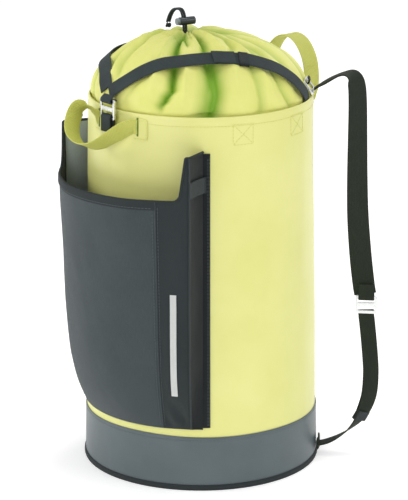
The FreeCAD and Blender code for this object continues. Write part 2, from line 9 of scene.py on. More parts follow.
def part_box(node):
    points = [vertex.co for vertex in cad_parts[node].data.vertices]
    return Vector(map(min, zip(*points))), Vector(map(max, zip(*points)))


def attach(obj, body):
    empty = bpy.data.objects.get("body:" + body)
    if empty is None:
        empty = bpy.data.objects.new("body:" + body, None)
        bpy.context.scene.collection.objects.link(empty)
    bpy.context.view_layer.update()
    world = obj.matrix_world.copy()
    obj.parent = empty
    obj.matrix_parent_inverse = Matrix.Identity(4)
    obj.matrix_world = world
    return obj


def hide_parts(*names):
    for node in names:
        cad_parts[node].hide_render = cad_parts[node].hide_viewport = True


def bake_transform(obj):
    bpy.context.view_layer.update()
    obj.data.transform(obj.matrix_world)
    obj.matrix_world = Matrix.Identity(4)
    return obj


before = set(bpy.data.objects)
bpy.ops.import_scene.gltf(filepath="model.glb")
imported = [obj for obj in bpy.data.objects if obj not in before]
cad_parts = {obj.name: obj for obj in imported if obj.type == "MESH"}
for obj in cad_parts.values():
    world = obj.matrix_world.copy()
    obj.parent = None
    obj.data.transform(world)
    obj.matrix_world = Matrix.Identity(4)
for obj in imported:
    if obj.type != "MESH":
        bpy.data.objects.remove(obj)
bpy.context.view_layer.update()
random.seed(7)

# Camera and soft light
# A long lens a little above the bag's middle, with large soft lamps round a pale floor.

bpy.ops.object.camera_add(
    location=(2.42452, -2.02945, 1.1983),
    rotation=(math.radians(73.592), 0, math.radians(50)),
)
camera = bpy.context.object
camera.data.lens = 187.3
camera.data.sensor_width = 36
bpy.context.scene.camera = camera
bpy.context.scene.view_settings.view_transform = "Standard"

LAMPS = [
    # name, place, watts, size
    ("key_softbox", (2.6, 0.9, 2.0), 17, 1.4),
    ("front_softbox", (1.1, -3.0, 1.5), 22, 1.6),
    ("left_softbox", (-2.2, -1.9, 1.4), 25, 1.0),
    ("top_softbox", (0.2, 0.2, 2.8), 15, 1.0),
    ("back_softbox", (-0.8, 2.6, 1.8), 20, 1.6),
]
for name, place, watts, size in LAMPS:
    bpy.ops.object.light_add(type="AREA", location=place)
    lamp = bpy.context.object
    lamp.name = name
    lamp.data.energy = watts
    lamp.data.size = size
    aim = Vector((0, 0, 0.28)) - Vector(place)
    lamp.rotation_euler = aim.to_track_quat("-Z", "Y").to_euler()

world = bpy.data.worlds.new("studio")
bpy.context.scene.world = world
world.use_nodes = True
world.node_tree.nodes["Background"].inputs["Color"].default_value = (1, 1, 1, 1)
world.node_tree.nodes["Background"].inputs["Strength"].default_value = 0.55


class Value:
    """A number that varies over a material, so that shader maths reads as sums."""

    def __init__(self, finish, socket):
        self.finish, self.socket = finish, socket

    def maths(self, operation, first, second=0.0):
        return self.finish.node("ShaderNodeMath", {"operation": operation}, {0: first, 1: second})

    def __add__(self, other):
        return self.maths("ADD", self, other)

    def __radd__(self, other):
        return self.maths("ADD", other, self)

    def __sub__(self, other):
        return self.maths("SUBTRACT", self, other)

    def __rsub__(self, other):
        return self.maths("SUBTRACT", other, self)

    def __mul__(self, other):
        return self.maths("MULTIPLY", self, other)

    def __rmul__(self, other):
        return self.maths("MULTIPLY", other, self)

    def __pow__(self, other):
        return self.maths("POWER", self, other)

    def sine(self):
        return self.maths("SINE", self)

    def size(self):
        return self.maths("ABSOLUTE", self)

    def whole(self):
        return self.maths("FLOOR", self)


class Finish:
    """One material and the nodes that vary it over its surface."""

    def __init__(self, name, **constants):
        self.material = bpy.data.materials.new(name)
        self.material.use_nodes = True
        self.tree = self.material.node_tree
        self.shader = self.tree.nodes["Principled BSDF"]
        for socket, value in constants.items():
            self.shader.inputs[socket.replace("_", " ")].default_value = value

    def node(self, kind, settings=None, inputs=None, output=0):
        made = self.tree.nodes.new(kind)
        for key, value in (settings or {}).items():
            setattr(made, key, value)
        for key, value in (inputs or {}).items():
            if isinstance(value, Value):
                self.tree.links.new(value.socket, made.inputs[key])
            else:
                made.inputs[key].default_value = value
        return Value(self, made.outputs[output])

    def drive(self, socket, value):
        self.tree.links.new(value.socket, self.shader.inputs[socket])

    def mix(self, share, first, second):
        inputs = {0: share, 6: first, 7: second}
        return self.node("ShaderNodeMix", {"data_type": "RGBA"}, inputs, output=2)

    def noise(self, where, scale, detail=2.0):
        inputs = {"Vector": where, "Scale": scale, "Detail": detail}
        return self.node("ShaderNodeTexNoise", {}, inputs)

    def on_cloth(self):
        """The flat cloth's own measures, in mm: the pair as one vector, along it and across it."""
        flat = self.node("ShaderNodeUVMap", {"uv_map": "flat"})
        split = self.tree.nodes.new("ShaderNodeSeparateXYZ")
        self.tree.links.new(flat.socket, split.inputs[0])
        return flat, Value(self, split.outputs[0]), Value(self, split.outputs[1])

    def in_space(self):
        return self.node("ShaderNodeTexCoord", {}, {}, output=3)

    def attribute(self, name):
        return self.node("ShaderNodeAttribute", {"attribute_name": name}, {}, output=2)

    def bump(self, height, depth_mm):
        inputs = {"Height": height, "Distance": depth_mm * 0.001}
        self.drive("Normal", self.node("ShaderNodeBump", {}, inputs))


def colour(red, green, blue, share=1.0):
    """A display colour, 0 to 255, as the linear colour that a shader takes."""
    return (*(share * (c / 255) ** 2.2 for c in (red, green, blue)), 1)


floor_finish = Finish("studio_floor", Roughness=0.7, Emission_Color=(1, 1, 1, 1), Emission_Strength=0.35)
grain = floor_finish.noise(floor_finish.in_space(), 3.0)
floor_finish.drive("Base Color", floor_finish.mix(grain, (0.93, 0.93, 0.93, 1), (0.96, 0.96, 0.96, 1)))
bpy.ops.object.select_all(action="DESELECT")
bpy.ops.mesh.primitive_plane_add(size=14, location=(0, 0, 0))
floor = bpy.context.object
floor.name = "studio_floor"
floor.data.materials.append(floor_finish.material)


# Drawcord
# Two strands of 3 mm braided polyester cord leave the collar's mouth side by side, pass through the
# cord lock and bend over to one knot. Sheath of black yarn, tied by hand.

CORD_DIAMETER = 0.003
CORD_ROUTE = [
    (-0.0155, -0.0125, 0.538),
    (-0.0155, -0.0125, 0.5745),
    (-0.034, -0.013, 0.5755),
    (-0.043, -0.014, 0.566),
    (-0.046, -0.0145, 0.556),
]
LOCK_HEADING = math.radians(13)
LOCK_AXIS = Vector((math.sin(LOCK_HEADING), math.cos(LOCK_HEADING), 0))
MM = 0.001


def smooth(points, steps):
    """Rows of numbers on a smooth curve through the given rows."""
    made = []
    last = len(points) - 1
    for i in range(last):
        four = [points[min(max(k, 0), last)] for k in (i - 1, i, i + 1, i + 2)]
        for step in range(steps):
            t = step / steps
            row = []
            for p, q, r, s in zip(*four):
                row.append(0.5 * (2 * q + (r - p) * t + (2 * p - 5 * q + 4 * r - s) * t ** 2
                                  + (3 * q - p - 3 * r + s) * t ** 3))
            made.append(tuple(row))
    made.append(tuple(points[last]))
    return made


def reshaped(mesh, merge=0.0, closed=False, flat_degrees=0, sides=True):
    """Clean a mesh: merge corners, close its open ends, join flat faces, face every side outward."""
    shape = bmesh.new()
    shape.from_mesh(mesh)
    if merge:
        bmesh.ops.remove_doubles(shape, verts=shape.verts, dist=merge)
    if closed:
        bmesh.ops.holes_fill(shape, edges=[e for e in shape.edges if e.is_boundary], sides=0)
    if flat_degrees:
        bmesh.ops.dissolve_limit(shape, angle_limit=math.radians(flat_degrees), verts=shape.verts,
                                 edges=shape.edges)
    if sides:
        bmesh.ops.recalc_face_normals(shape, faces=shape.faces)
    shape.to_mesh(mesh)
    shape.free()


def woven(name, columns, rows, place, joined=False):
    """Grid piece; place(u, v) gives a point and its spot on the flat cloth, in mm."""
    bpy.ops.object.select_all(action="DESELECT")
    bpy.ops.mesh.primitive_grid_add(x_subdivisions=columns, y_subdivisions=rows, size=2)
    piece = bpy.context.object
    piece.name = name
    mesh = piece.data
    spots = [place((v.co.x + 1) / 2, (v.co.y + 1) / 2) for v in mesh.vertices]
    flat = mesh.uv_layers[0]
    flat.name = "flat"
    for loop in mesh.loops:
        flat.data[loop.index].uv = spots[loop.vertex_index][1]
    for vertex, spot in zip(mesh.vertices, spots):
        vertex.co = Vector(spot[0]) * MM
    if joined:
        reshaped(mesh, merge=1e-6, closed=True)
    return piece


def worked(piece, kind, **settings):
    """Add one modifier and apply it."""
    bpy.ops.object.select_all(action="DESELECT")
    piece.select_set(True)
    bpy.context.view_layer.objects.active = piece
    modifier = piece.modifiers.new(kind.lower(), kind)
    for key, value in settings.items():
        setattr(modifier, key, value)
    bpy.ops.object.modifier_apply(modifier=modifier.name)
    return piece


def fitted(piece, finish, slot, stands_for=(), body="bag", sharp=40):
    """Give a finished piece its material and its body. The slot argument is not used."""
    bpy.ops.object.select_all(action="DESELECT")
    piece.select_set(True)
    bpy.context.view_layer.objects.active = piece
    bpy.ops.object.shade_smooth_by_angle(angle=math.radians(sharp))
    piece.data.materials.clear()
    piece.data.materials.append(finish.material)
    if stands_for:
        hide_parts(*stands_for)
    if body:
        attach(piece, body)
    return piece


def rope(name, line, radius, sides=12, twist=0.0):
    """Round cord along a line of points, all in mm."""
    points = [Vector(p) for p in line]
    lengths = [0.0]
    for a, b in zip(points, points[1:]):
        lengths.append(lengths[-1] + (b - a).length)
    side = Vector((0.2, 1, 0.1))
    rings = []
    for i, point in enumerate(points):
        along = (points[min(i + 1, len(points) - 1)] - points[max(i - 1, 0)]).normalized()
        side = (side - along * side.dot(along)).normalized()
        rings.append((point, side, along.cross(side)))

    def place(u, v):
        i = round(u * (len(points) - 1))
        turn = 2 * math.pi * v
        point, across, up = rings[i]
        spot = point + (across * math.cos(turn) + up * math.sin(turn)) * radius
        return spot, (lengths[i], v * 2 * math.pi * radius)

    return woven(name, len(points) - 1, sides, place, joined=True)


cord_finish = Finish("black_braid", Roughness=0.62, Specular_IOR_Level=0.35)
flat, along, around = cord_finish.on_cloth()
plait = (along * 2.2 + around * 2.0).sine() * (along * 2.2 - around * 2.0).sine()
lint = cord_finish.noise(flat, 1.4)
braid = plait * 0.3 + lint * 0.7
cord_finish.drive("Base Color", cord_finish.mix(braid, colour(26, 31, 33), colour(74, 82, 86)))
cord_finish.drive("Roughness", 0.5 + lint * 0.3)
cord_finish.bump(plait, 0.25)

knot_end = Vector(CORD_ROUTE[-1]) / MM


def knot_line():
    """Overhand knot that hangs just under the strands' ends."""
    line = []
    for i in range(64):
        t = 2 * math.pi * i / 64
        across = 1.15 * (math.sin(t) + 2 * math.sin(2 * t))
        deep = 1.15 * (math.cos(t) - 2 * math.cos(2 * t))
        line.append(knot_end + Vector((across * 0.75, deep * 0.75, -4.1 - 1.5 * math.sin(3 * t))))
    return line + line[:1]


knot = rope("drawcord_knot_tied", knot_line(), 1.35)
fitted(knot, cord_finish, "black_cord", ["drawcord_knot"], sharp=80)

for name, sign in (("drawcord_strand_front", -1), ("drawcord_strand_rear", 1)):
    offset = LOCK_AXIS * (sign * 0.0017)
    data = bpy.data.curves.new(name + "_braided", "CURVE")
    data.dimensions = "3D"
    spline = data.splines.new("NURBS")
    spline.points.add(len(CORD_ROUTE) - 1)
    for spot, point in zip(spline.points, CORD_ROUTE):
        spot.co = (*(Vector(point) + offset), 1)
    spline.order_u = 3
    spline.use_endpoint_u = True
    spline.resolution_u = 16
    guide = bpy.data.objects.new(name + "_guide", data)
    line = [v.co.copy() for v in bpy.data.meshes.new_from_object(guide).vertices]
    bpy.data.objects.remove(guide)
    strand = rope(name + "_braided", [p / MM for p in line], CORD_DIAMETER / 2 / MM)
    fitted(strand, cord_finish, "black_cord", [name], sharp=80)
    tuple(line[0])
    [tuple(p) for p in line]

mouth_centre = Vector((-9.37, -11.19, 537.0))
CHANNEL_RADIUS = 15
ring = []
for i in range(73):
    turn = math.radians(5 * i)
    wave = 0.5 * math.sin(7 * turn)
    around_mouth = Vector((CHANNEL_RADIUS * math.cos(turn), CHANNEL_RADIUS * math.sin(turn), wave * 0.4))
    ring.append(mouth_centre + around_mouth)
channel_cord = rope("drawcord_in_channel", ring, CORD_DIAMETER / 2 / MM)
fitted(channel_cord, cord_finish, "black_cord", ["drawcord_channel_loop"], sharp=80)


# Cord lock
# Moulded barrel with a spring-loaded button: pressing the grey button lines its slot up with the
# barrel's and lets the two strands slide.

def softened(node, name, edge_mm, finish, slot, body, segments=3):
    """A hard part on its CAD shape, with its edges broken as tumbling or moulding leaves them."""
    piece = bpy.data.objects.new(name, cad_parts[node].data.copy())
    bpy.context.scene.collection.objects.link(piece)
    piece.data.materials.clear()
    reshaped(piece.data, merge=1e-5, flat_degrees=1, sides=False)
    worked(piece, "BEVEL", width=edge_mm * MM, segments=segments, limit_method="ANGLE",
           angle_limit=math.radians(35), miter_outer="MITER_ARC")
    return fitted(piece, finish, slot, [node], body=body, sharp=35)


def plastic(name, dark, light, roughness):
    made = Finish(name, Specular_IOR_Level=0.55)
    where = made.in_space()
    grain = made.noise(where, 900.0, 3.0)
    worn = made.noise(where, 60.0)
    made.drive("Base Color", made.mix(worn, colour(*dark), colour(*light)))
    made.drive("Roughness", roughness + grain * 0.18)
    made.bump(grain, 0.05)
    return made


barrel_finish = plastic("dark_moulding", (30, 34, 38), (58, 66, 72), 0.2)
button_finish = plastic("grey_moulding", (96, 104, 108), (132, 142, 148), 0.28)
softened("cord_lock_barrel", "cord_lock_barrel_moulded", 0.35, barrel_finish, "dark_plastic", "cord_lock")
softened("cord_lock_button", "cord_lock_button_moulded", 0.5, button_finish, "grey_plastic",
         "cord_lock_button")

steel_finish = Finish("spring_wire", Metallic=1.0, Roughness=0.3)
drawn = steel_finish.noise(steel_finish.in_space(), 500.0)
steel_finish.drive("Base Color", steel_finish.mix(drawn, (0.42, 0.42, 0.42, 1), (0.62, 0.62, 0.6, 1)))
lock_low, lock_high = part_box("cord_lock_spring")
spring_middle = (lock_low + lock_high) / 2 / MM
COIL_RADIUS, WIRE_RADIUS, COIL_STEPS = 2.65, 0.26, 96
sideways = Vector((LOCK_AXIS.y, -LOCK_AXIS.x, 0))
coil = []
for i in range(COIL_STEPS + 1):
    turn = math.radians(15 * i)
    lift = -1.0 + 2.0 * i / COIL_STEPS
    coil.append(spring_middle + LOCK_AXIS * lift + sideways * COIL_RADIUS * math.cos(turn)
                + Vector((0, 0, COIL_RADIUS * math.sin(turn))))
spring = rope("cord_lock_spring_coil", coil, WIRE_RADIUS, sides=8)
fitted(spring, steel_finish, "spring_steel", ["cord_lock_spring"], body="cord_lock", sharp=80)


# Tarpaulin tube
# One sheet of lime PVC-coated polyester, its back seam welded and its rim turned in and sewn down.
# It stands by its own stiffness, so the wall is only a little uneven.

BASE_RADIUS, RIM_RADIUS, TUBE_HEIGHT = 148.0, 140.5, 472.5
BASE_GIRTH = 2 * math.pi * BASE_RADIUS
ROUND_STEPS = 216
UP = Vector((0, 0, 1))


def wall(angle, height, proud=0.0):
    """Point on the tube's wall, at degrees from the pocket towards +X and mm up."""
    a = math.radians(angle)
    dent = 0.5 * math.sin(3 * a + 0.8 + height / 160) + 0.35 * math.sin(7 * a - height / 75)
    dent *= min(1.0, max(0.0, (height - 60) / 120)) * min(1.0, max(0.15, (TUBE_HEIGHT - height) / 90))
    radius = BASE_RADIUS + (RIM_RADIUS - BASE_RADIUS) * height / TUBE_HEIGHT + dent + proud - 0.35
    return Vector((radius * math.sin(a), -radius * math.cos(a), height))


def outward(angle):
    a = math.radians(angle)
    return Vector((math.sin(a), -math.cos(a), 0))


def turned(name, outline, uneven=lambda angle, height: 0.0):
    """Round shell: outline is a closed list of (proud, height) on the wall."""
    rows = len(outline)
    loop = outline + outline[:1]

    def place(u, v):
        proud, height = loop[round(v * rows)]
        angle = 360 * u
        height += uneven(angle, height)
        return wall(angle, height, proud), (u * BASE_GIRTH, height)

    return woven(name, ROUND_STEPS, rows, place, joined=True)


def coated(name, light, deep, scrim=0.12, roughness=0.34):
    """Coated fabric: a smooth skin that shows the polyester scrim under it."""
    made = Finish(name, Coat_Roughness=0.25, Specular_IOR_Level=0.4)
    flat, along, around = made.on_cloth()
    threads = (along * (math.pi / 1.3)).sine().size() ** 6.0 + (around * (math.pi / 1.3)).sine().size() ** 6.0
    cloudy = made.noise(flat, 0.012, 3.0)
    grain = made.noise(flat, 0.9, 3.0)
    shade = cloudy * 0.75 + grain * 0.15 + threads * scrim * 0.5
    made.drive("Base Color", made.mix(shade, deep, light))
    made.drive("Roughness", roughness + grain * 0.16)
    made.drive("Coat Weight", 0.12 + cloudy * 0.16)
    made.bump(threads * scrim + grain * 0.25 + cloudy * 3.0, 0.35)
    return made


tarp_finish = coated("lime_coated_tarpaulin", colour(233, 231, 156), colour(212, 213, 116))

tube_outline = [(0, 54 + 10.0 * i) for i in range(41)] + [
    (0, 462), (0, 468), (-0.1, 471.4), (-0.6, 472.5), (-1.6, 472.6), (-2.3, 472.2), (-2.5, 471), (-2.5, 466),
    (-2.5, 461.7), (-2.2, 461.3), (-1.3, 461.2), (-1.2, 455), (-1.2, 300), (-1.2, 150), (-1.2, 54),
]
tube = turned("tarp_tube_sewn", tube_outline)
fitted(tube, tarp_finish, "lime_tarpaulin", ["tarp_tube", "rim_hem"], sharp=60)


def stitches(name, runs, finish, slot, stitch=3.2, gap=1.1, yarn=0.32, body="bag"):
    """Sewing thread: short stitches along runs of (point, outward direction), all in mm."""
    corners, faces = [], []
    for run in runs:
        walked = [0.0]
        for (a, _), (b, _) in zip(run, run[1:]):
            walked.append(walked[-1] + (b - a).length)
        count = int(walked[-1] / (stitch + gap))
        k = 0

        def at(distance):
            nonlocal k
            while k < len(walked) - 2 and walked[k + 1] < distance:
                k += 1
            share = (distance - walked[k]) / max(1e-6, walked[k + 1] - walked[k])
            return run[k][0].lerp(run[k + 1][0], share), run[k][1].lerp(run[k + 1][1], share)

        for n in range(count):
            start = n * (stitch + gap) + gap / 2
            rings = []
            for share, thick in ((0, 0.25), (0.2, 1), (0.8, 1), (1, 0.25)):
                rings.append((at(start + share * stitch), thick))
            along = rings[3][0][0] - rings[0][0][0]
            if along.length < 0.1:
                continue
            along.normalize()
            first = len(corners)
            for (point, out), thick in rings:
                side = along.cross(out).normalized() * yarn * thick
                rise = out.normalized() * yarn
                for corner in (side, rise * thick, -side, -rise * 0.6):
                    corners.append((point + corner) * MM)
            for r in range(3):
                for c in range(4):
                    a, b = first + 4 * r + c, first + 4 * r + (c + 1) % 4
                    faces.append((a, a + 4, b + 4, b))
            faces.append((first, first + 1, first + 2, first + 3))
            faces.append((first + 15, first + 14, first + 13, first + 12))
    mesh = bpy.data.meshes.new(name)
    mesh.from_pydata(corners, [], faces)
    flat = mesh.uv_layers.new(name="flat")
    for loop in mesh.loops:
        flat.data[loop.index].uv = (corners[loop.vertex_index].x / MM, corners[loop.vertex_index].z / MM)
    piece = bpy.data.objects.new(name, mesh)
    bpy.context.scene.collection.objects.link(piece)
    reshaped(mesh)
    return fitted(piece, finish, slot, body=body, sharp=60)


def thread(name, dark, light):
    made = Finish(name, Roughness=0.6)
    where = made.in_space()
    made.drive("Base Color", made.mix(made.noise(where, 400.0), colour(*dark), colour(*light)))
    made.bump(made.noise(where, 1600.0), 0.1)
    return made


lime_thread = thread("lime_thread", (196, 198, 96), (222, 222, 130))
dark_thread = thread("dark_thread", (70, 78, 80), (104, 113, 116))


def wall_run(spots, proud=0.15):
    """Sewing line on the wall through (angle, height) places."""
    run = []
    for (a0, z0), (a1, z1) in zip(spots, spots[1:]):
        steps = max(1, round(math.hypot((a1 - a0) * 2.5, z1 - z0) / 3))
        for i in range(steps):
            t = i / steps
            run.append((wall(a0 + (a1 - a0) * t, z0 + (z1 - z0) * t, proud), outward(a0 + (a1 - a0) * t)))
    run.append((wall(*spots[-1], proud), outward(spots[-1][0])))
    return run


def box_stitch(left, right, low, high):
    """Sewn box with a cross in it, the usual hold for a webbing end."""
    return [wall_run([(left, low), (right, low), (right, high), (left, high), (left, low)]),
            wall_run([(left, low), (right, high)]), wall_run([(left, high), (right, low)])]


HEM_SEAM, BOX_LOW, BOX_HIGH = 461.5, 438, 463
hem_runs = [wall_run([(a, HEM_SEAM) for a in range(0, 361, 3)])]
for side in (1, -1):
    for left, right in ((66, 76.5), (101, 112)):
        hem_runs += box_stitch(side * left, side * right, BOX_LOW, BOX_HIGH)
stitches("rim_and_loop_stitching", hem_runs, lime_thread, "lime_tarpaulin")


# Base
# A band of slate coated fabric is sewn over the tube's foot, dark tape binds its seam with the base
# disc, and the disc is the same coated fabric.

slate_finish = coated("slate_coated_fabric", colour(96, 108, 112), colour(66, 76, 79), 0.2, 0.36)


band_outline = [(-0.9, 2.0), (1.35, 2.0)] + [(1.35, 6.0 + 6.2 * i) for i in range(10)] + [
    (1.35, 66.5), (1.2, 68.6), (0.75, 69.2), (0.15, 69.0), (0.1, 66), (0.1, 30)]


def cut_by_hand(angle, height):
    """The band's upper edge isn't quite level."""
    rise = 0.9 * math.sin(math.radians(2 * angle + 40)) + 0.5 * math.sin(math.radians(5 * angle))
    return rise * max(0.0, height - 30) / 40


band = turned("base_band_sewn", band_outline, cut_by_hand)
fitted(band, slate_finish, "grey_tarpaulin", ["base_band"], sharp=60)

tape_finish = Finish("dark_binding_tape", Roughness=0.7, Specular_IOR_Level=0.3)
flat, along, around = tape_finish.on_cloth()
ribs = (along * (2 * math.pi / 1.1)).sine()
fuzz = tape_finish.noise(flat, 1.1, 3.0)
nap = fuzz * 0.8 + ribs * 0.15
tape_finish.drive("Base Color", tape_finish.mix(nap, colour(28, 33, 35), colour(64, 72, 74)))
tape_finish.drive("Roughness", 0.55 + fuzz * 0.3)
tape_finish.bump(ribs + fuzz, 0.2)

piping_outline = [(1.0, 0.1), (2.4, 0.1), (2.9, 1.4), (3.0, 3.2), (2.8, 5.4), (2.2, 6.8), (1.4, 7.0),
                  (1.0, 5.0)]
piping = turned("base_piping_taped", piping_outline)
fitted(piping, tape_finish, "dark_binding", ["base_piping"], sharp=60)
foot_runs = [wall_run([(a, height) for a in range(0, 361, 3)], 1.5) for height in (7.9, 65.0)]
stitches("base_stitching", foot_runs, dark_thread, "grey_tarpaulin", yarn=0.28)

DISC_OUTLINE = [
    # radius and height, over the top from the middle and back under
    (0.5, 1.55), (12, 1.6), (40, 1.6), (80, 1.6), (110, 1.6), (130, 1.6), (140, 1.6), (144, 1.6),
    (146.5, 1.5), (147.8, 1.3), (148.2, 0.9), (147.8, 0.25), (144, 0.12), (130, 0.1), (80, 0.15),
    (40, 0.15), (12, 0.15), (0.5, 0.15),
]
DISC_TOP_ROWS = 9


def disc_place(u, v):
    i = round(v * (len(DISC_OUTLINE) - 1))
    radius, height = DISC_OUTLINE[i]
    a = 2 * math.pi * u
    crease = 0.12 * math.sin(5 * a) * math.sin(radius / 30)
    lift = crease if i < DISC_TOP_ROWS else 0
    spot = Vector((radius * math.sin(a), -radius * math.cos(a), height + lift))
    return spot, (spot.x, spot.y)


disc = woven("base_disc_sewn", 144, len(DISC_OUTLINE) - 1, disc_place, joined=True)
fitted(disc, slate_finish, "grey_tarpaulin", ["base_disc"], sharp=60)


# Gathered collar
# Light lime coated cloth sewn inside the rim and drawn shut by the cord, which bunches it into deep
# folds that run out from the mouth; a sewn tunnel at the top holds the cord.

COLLAR_PROFILE = [
    (137.9, 461.5), (137.9, 465), (135.3, 470), (136, 477), (132.4, 487), (125.4, 499), (113.4, 512),
    (97.4, 526), (81.2, 536), (63, 544), (47, 548.5), (33, 550.5), (22, 551.5), (14, 551), (10.5, 548),
    (9.6, 543),
]
COLLAR_FOOT_RADIUS = COLLAR_PROFILE[0][0]
COLLAR_LINE = smooth(COLLAR_PROFILE, 10)


def lean(height):
    share = max(0.0, height - 470) / 78
    return Vector((-10.3 * share, -12.3 * share, 0))


walked = [0.0]
for (r0, z0), (r1, z1) in zip(COLLAR_LINE, COLLAR_LINE[1:]):
    walked.append(walked[-1] + math.hypot(r1 - r0, z1 - z0))
COLLAR_LENGTH = walked[-1]


def collar_at(share):
    """Radius, height, and outward slope of the collar's line at a share of the way to the mouth."""
    distance = min(0.99999, max(0.0, share)) * COLLAR_LENGTH
    k = max(i for i in range(len(walked)) if walked[i] <= distance)
    k = min(k, len(COLLAR_LINE) - 2)
    t = (distance - walked[k]) / (walked[k + 1] - walked[k])
    (r0, z0), (r1, z1) = COLLAR_LINE[k], COLLAR_LINE[k + 1]
    long = math.hypot(r1 - r0, z1 - z0)
    return r0 + (r1 - r0) * t, z0 + (z1 - z0) * t, (z1 - z0) / long, -(r1 - r0) / long


DIVISIONS = 400
COLLAR_STEPS = [collar_at(i / DIVISIONS) for i in range(DIVISIONS + 1)]

# valley: (share to the mouth, degrees) places, depth in mm, half width in mm
VALLEYS = [
    ([(0.13, 29), (0.19, 32), (0.27, 36), (0.48, 37), (0.66, 36), (0.86, 34)], 13.0, 8.5),
    ([(0.70, 49), (0.78, 47), (0.86, 44)], 8.0, 7.0),
    ([(0.00, 53), (0.10, 57), (0.26, 62), (0.45, 64), (0.60, 65), (0.73, 70), (0.86, 74)], 11.0, 9.0),
    ([(0.02, 50), (0.20, 56), (0.34, 60), (0.50, 63)], 8.0, 20.0),
    ([(0.50, 82), (0.63, 97), (0.74, 106), (0.90, 112)], 5.5, 9.0),
    ([(0.34, 98), (0.43, 101), (0.53, 106), (0.61, 111), (0.80, 128)], 5.0, 9.0),
    ([(0.05, 83), (0.18, 86), (0.30, 89), (0.45, 92)], 5.5, 10.0),
    ([(0.06, 104), (0.20, 102), (0.35, 104), (0.52, 112)], 5.5, 9.0),
    ([(0.16, 115), (0.40, 118), (0.60, 127), (0.85, 145)], 5.5, 10.0),
    ([(0.05, 132), (0.30, 136), (0.60, 150), (0.90, 170)], 7.0, 10.0),
    ([(0.30, -4), (0.45, -8), (0.65, -12), (0.80, -28), (0.95, -44)], 4.5, 9.0),
    ([(0.14, 8), (0.24, 13), (0.42, 22), (0.60, 24), (0.90, 20)], 3.0, 10.0),
    ([(0.24, -20), (0.40, -22), (0.60, -26), (0.79, -44), (0.95, -62)], 6.5, 9.0),
    ([(0.05, -28), (0.22, -31), (0.40, -40), (0.70, -64), (0.95, -84)], 6.0, 11.0),
]
# ridge: the same, for a crest of cloth that stands up between two folds
RIDGES = [
    ([(0.30, 24), (0.50, 27), (0.70, 25), (0.92, 18)], 3.5, 10.0),
    ([(0.20, 44), (0.45, 46), (0.70, 42), (0.90, 40)], 3.5, 8.0),
    ([(0.22, 74), (0.40, 78), (0.62, 83), (0.90, 92)], 3.0, 9.0),
    ([(0.34, -10), (0.50, -14), (0.66, -20), (0.84, -36)], 6.0, 11.0),
    ([(0.20, 94), (0.45, 97), (0.66, 104), (0.90, 118)], 2.5, 8.0),
]
angle = 152.0
while angle < 318:
    drift = random.uniform(-14, 14)
    low = random.uniform(0.03, 0.25)
    bend = random.uniform(-5, 5)
    places = [(low, angle), ((low + 0.6) / 2, angle + bend), (0.6, angle + drift / 2), (0.95, angle + drift)]
    VALLEYS.append((places, random.uniform(4.5, 9), random.uniform(8, 13)))
    angle += random.uniform(13, 22)


def along_valley(places, share):
    """The valley's angle at a share, or None past its ends."""
    if share <= places[0][0]:
        return places[0][1]
    for (s0, a0), (s1, a1) in zip(places, places[1:]):
        if share <= s1:
            t = (share - s0) / (s1 - s0)
            t = t * t * (3 - 2 * t) * 0.5 + t * 0.5
            return a0 + (a1 - a0) * t
    return places[-1][1]


def ease(value, low, high):
    t = min(1.0, max(0.0, (value - low) / (high - low)))
    return t * t * (3 - 2 * t)


def bulge(angle, share):
    """Slow swell and slack of the whole collar, in mm along its outward direction."""
    a = math.radians(angle)
    back_right = max(0.0, math.cos(a - math.radians(128))) ** 2
    left = max(0.0, math.cos(a - math.radians(-62))) ** 2
    top = math.sin(math.pi * ease(share, 0.1, 1.0))
    low = math.sin(math.pi * ease(share, 0.02, 0.72))
    return 9.0 * back_right * low - 4.0 * left * top


def folds_at(angle, share, radius):
    """How far the cloth dips and how far it rises at a place, in mm."""
    dip, rise = 0.0, 0.0
    for kind, folds in (("dip", VALLEYS), ("rise", RIDGES)):
        for places, depth, half in folds:
            gap = (angle - along_valley(places, share) + 180) % 360 - 180
            gap = math.radians(gap) * max(radius, 16)
            near = abs(gap) / (half * (0.4 + 0.6 * min(1.0, radius / 100)))
            if near > 3:
                continue
            fade = ease(share, places[0][0] - 0.10, places[0][0] + 0.06)
            fade *= 1 - ease(share, places[-1][0] - 0.02, places[-1][0] + 0.14)
            near *= 1.0 if gap > 0 else 1.3
            if kind == "dip":
                dip += depth * fade * math.exp(-(near ** 1.35) * 1.1) * (1 - min(1.0, dip / 22))
            else:
                rise = max(rise, depth * fade * max(0.0, 1 - near) ** 1.2)
    return dip, rise


def collar_spot(angle, share, extra=0.0, folded=True):
    """Point on the collar and how deep in a fold it lies."""
    radius, height, rise_r, rise_z = COLLAR_STEPS[round(min(1.0, max(0.0, share)) * DIVISIONS)]
    dip, rise = 0.0, 0.0
    if folded:
        dip, rise = folds_at(angle, share, radius)
        turn = math.radians(angle)
        fine = ease(share, 0.6, 0.9) * (2.4 + 1.2 * math.sin(3 * turn))
        fine *= 1 - 0.5 * ease(share, 0.92, 0.98)
        dip += fine * (1 - abs(math.sin(11 * turn + 1.1 * math.sin(2 * turn) + 0.7 * share)) ** 0.8)
        slow = noise.noise(Vector((math.sin(turn) * 3.2, math.cos(turn) * 3.2, share * 2.4)))
        quick = noise.noise(Vector((math.sin(turn) * 9, math.cos(turn) * 9, share * 3.0 + 4)))
        rise += (1.8 * slow + 0.9 * quick) * ease(share, 0.03, 0.25)
    lift = bulge(angle, share) + 1.2 * ease(share, 0.05, 0.3) - dip + rise + extra
    out = outward(angle)
    normal = out * rise_r + Vector((0, 0, rise_z))
    return lean(height) + out * radius + Vector((0, 0, height)) + normal * lift, dip


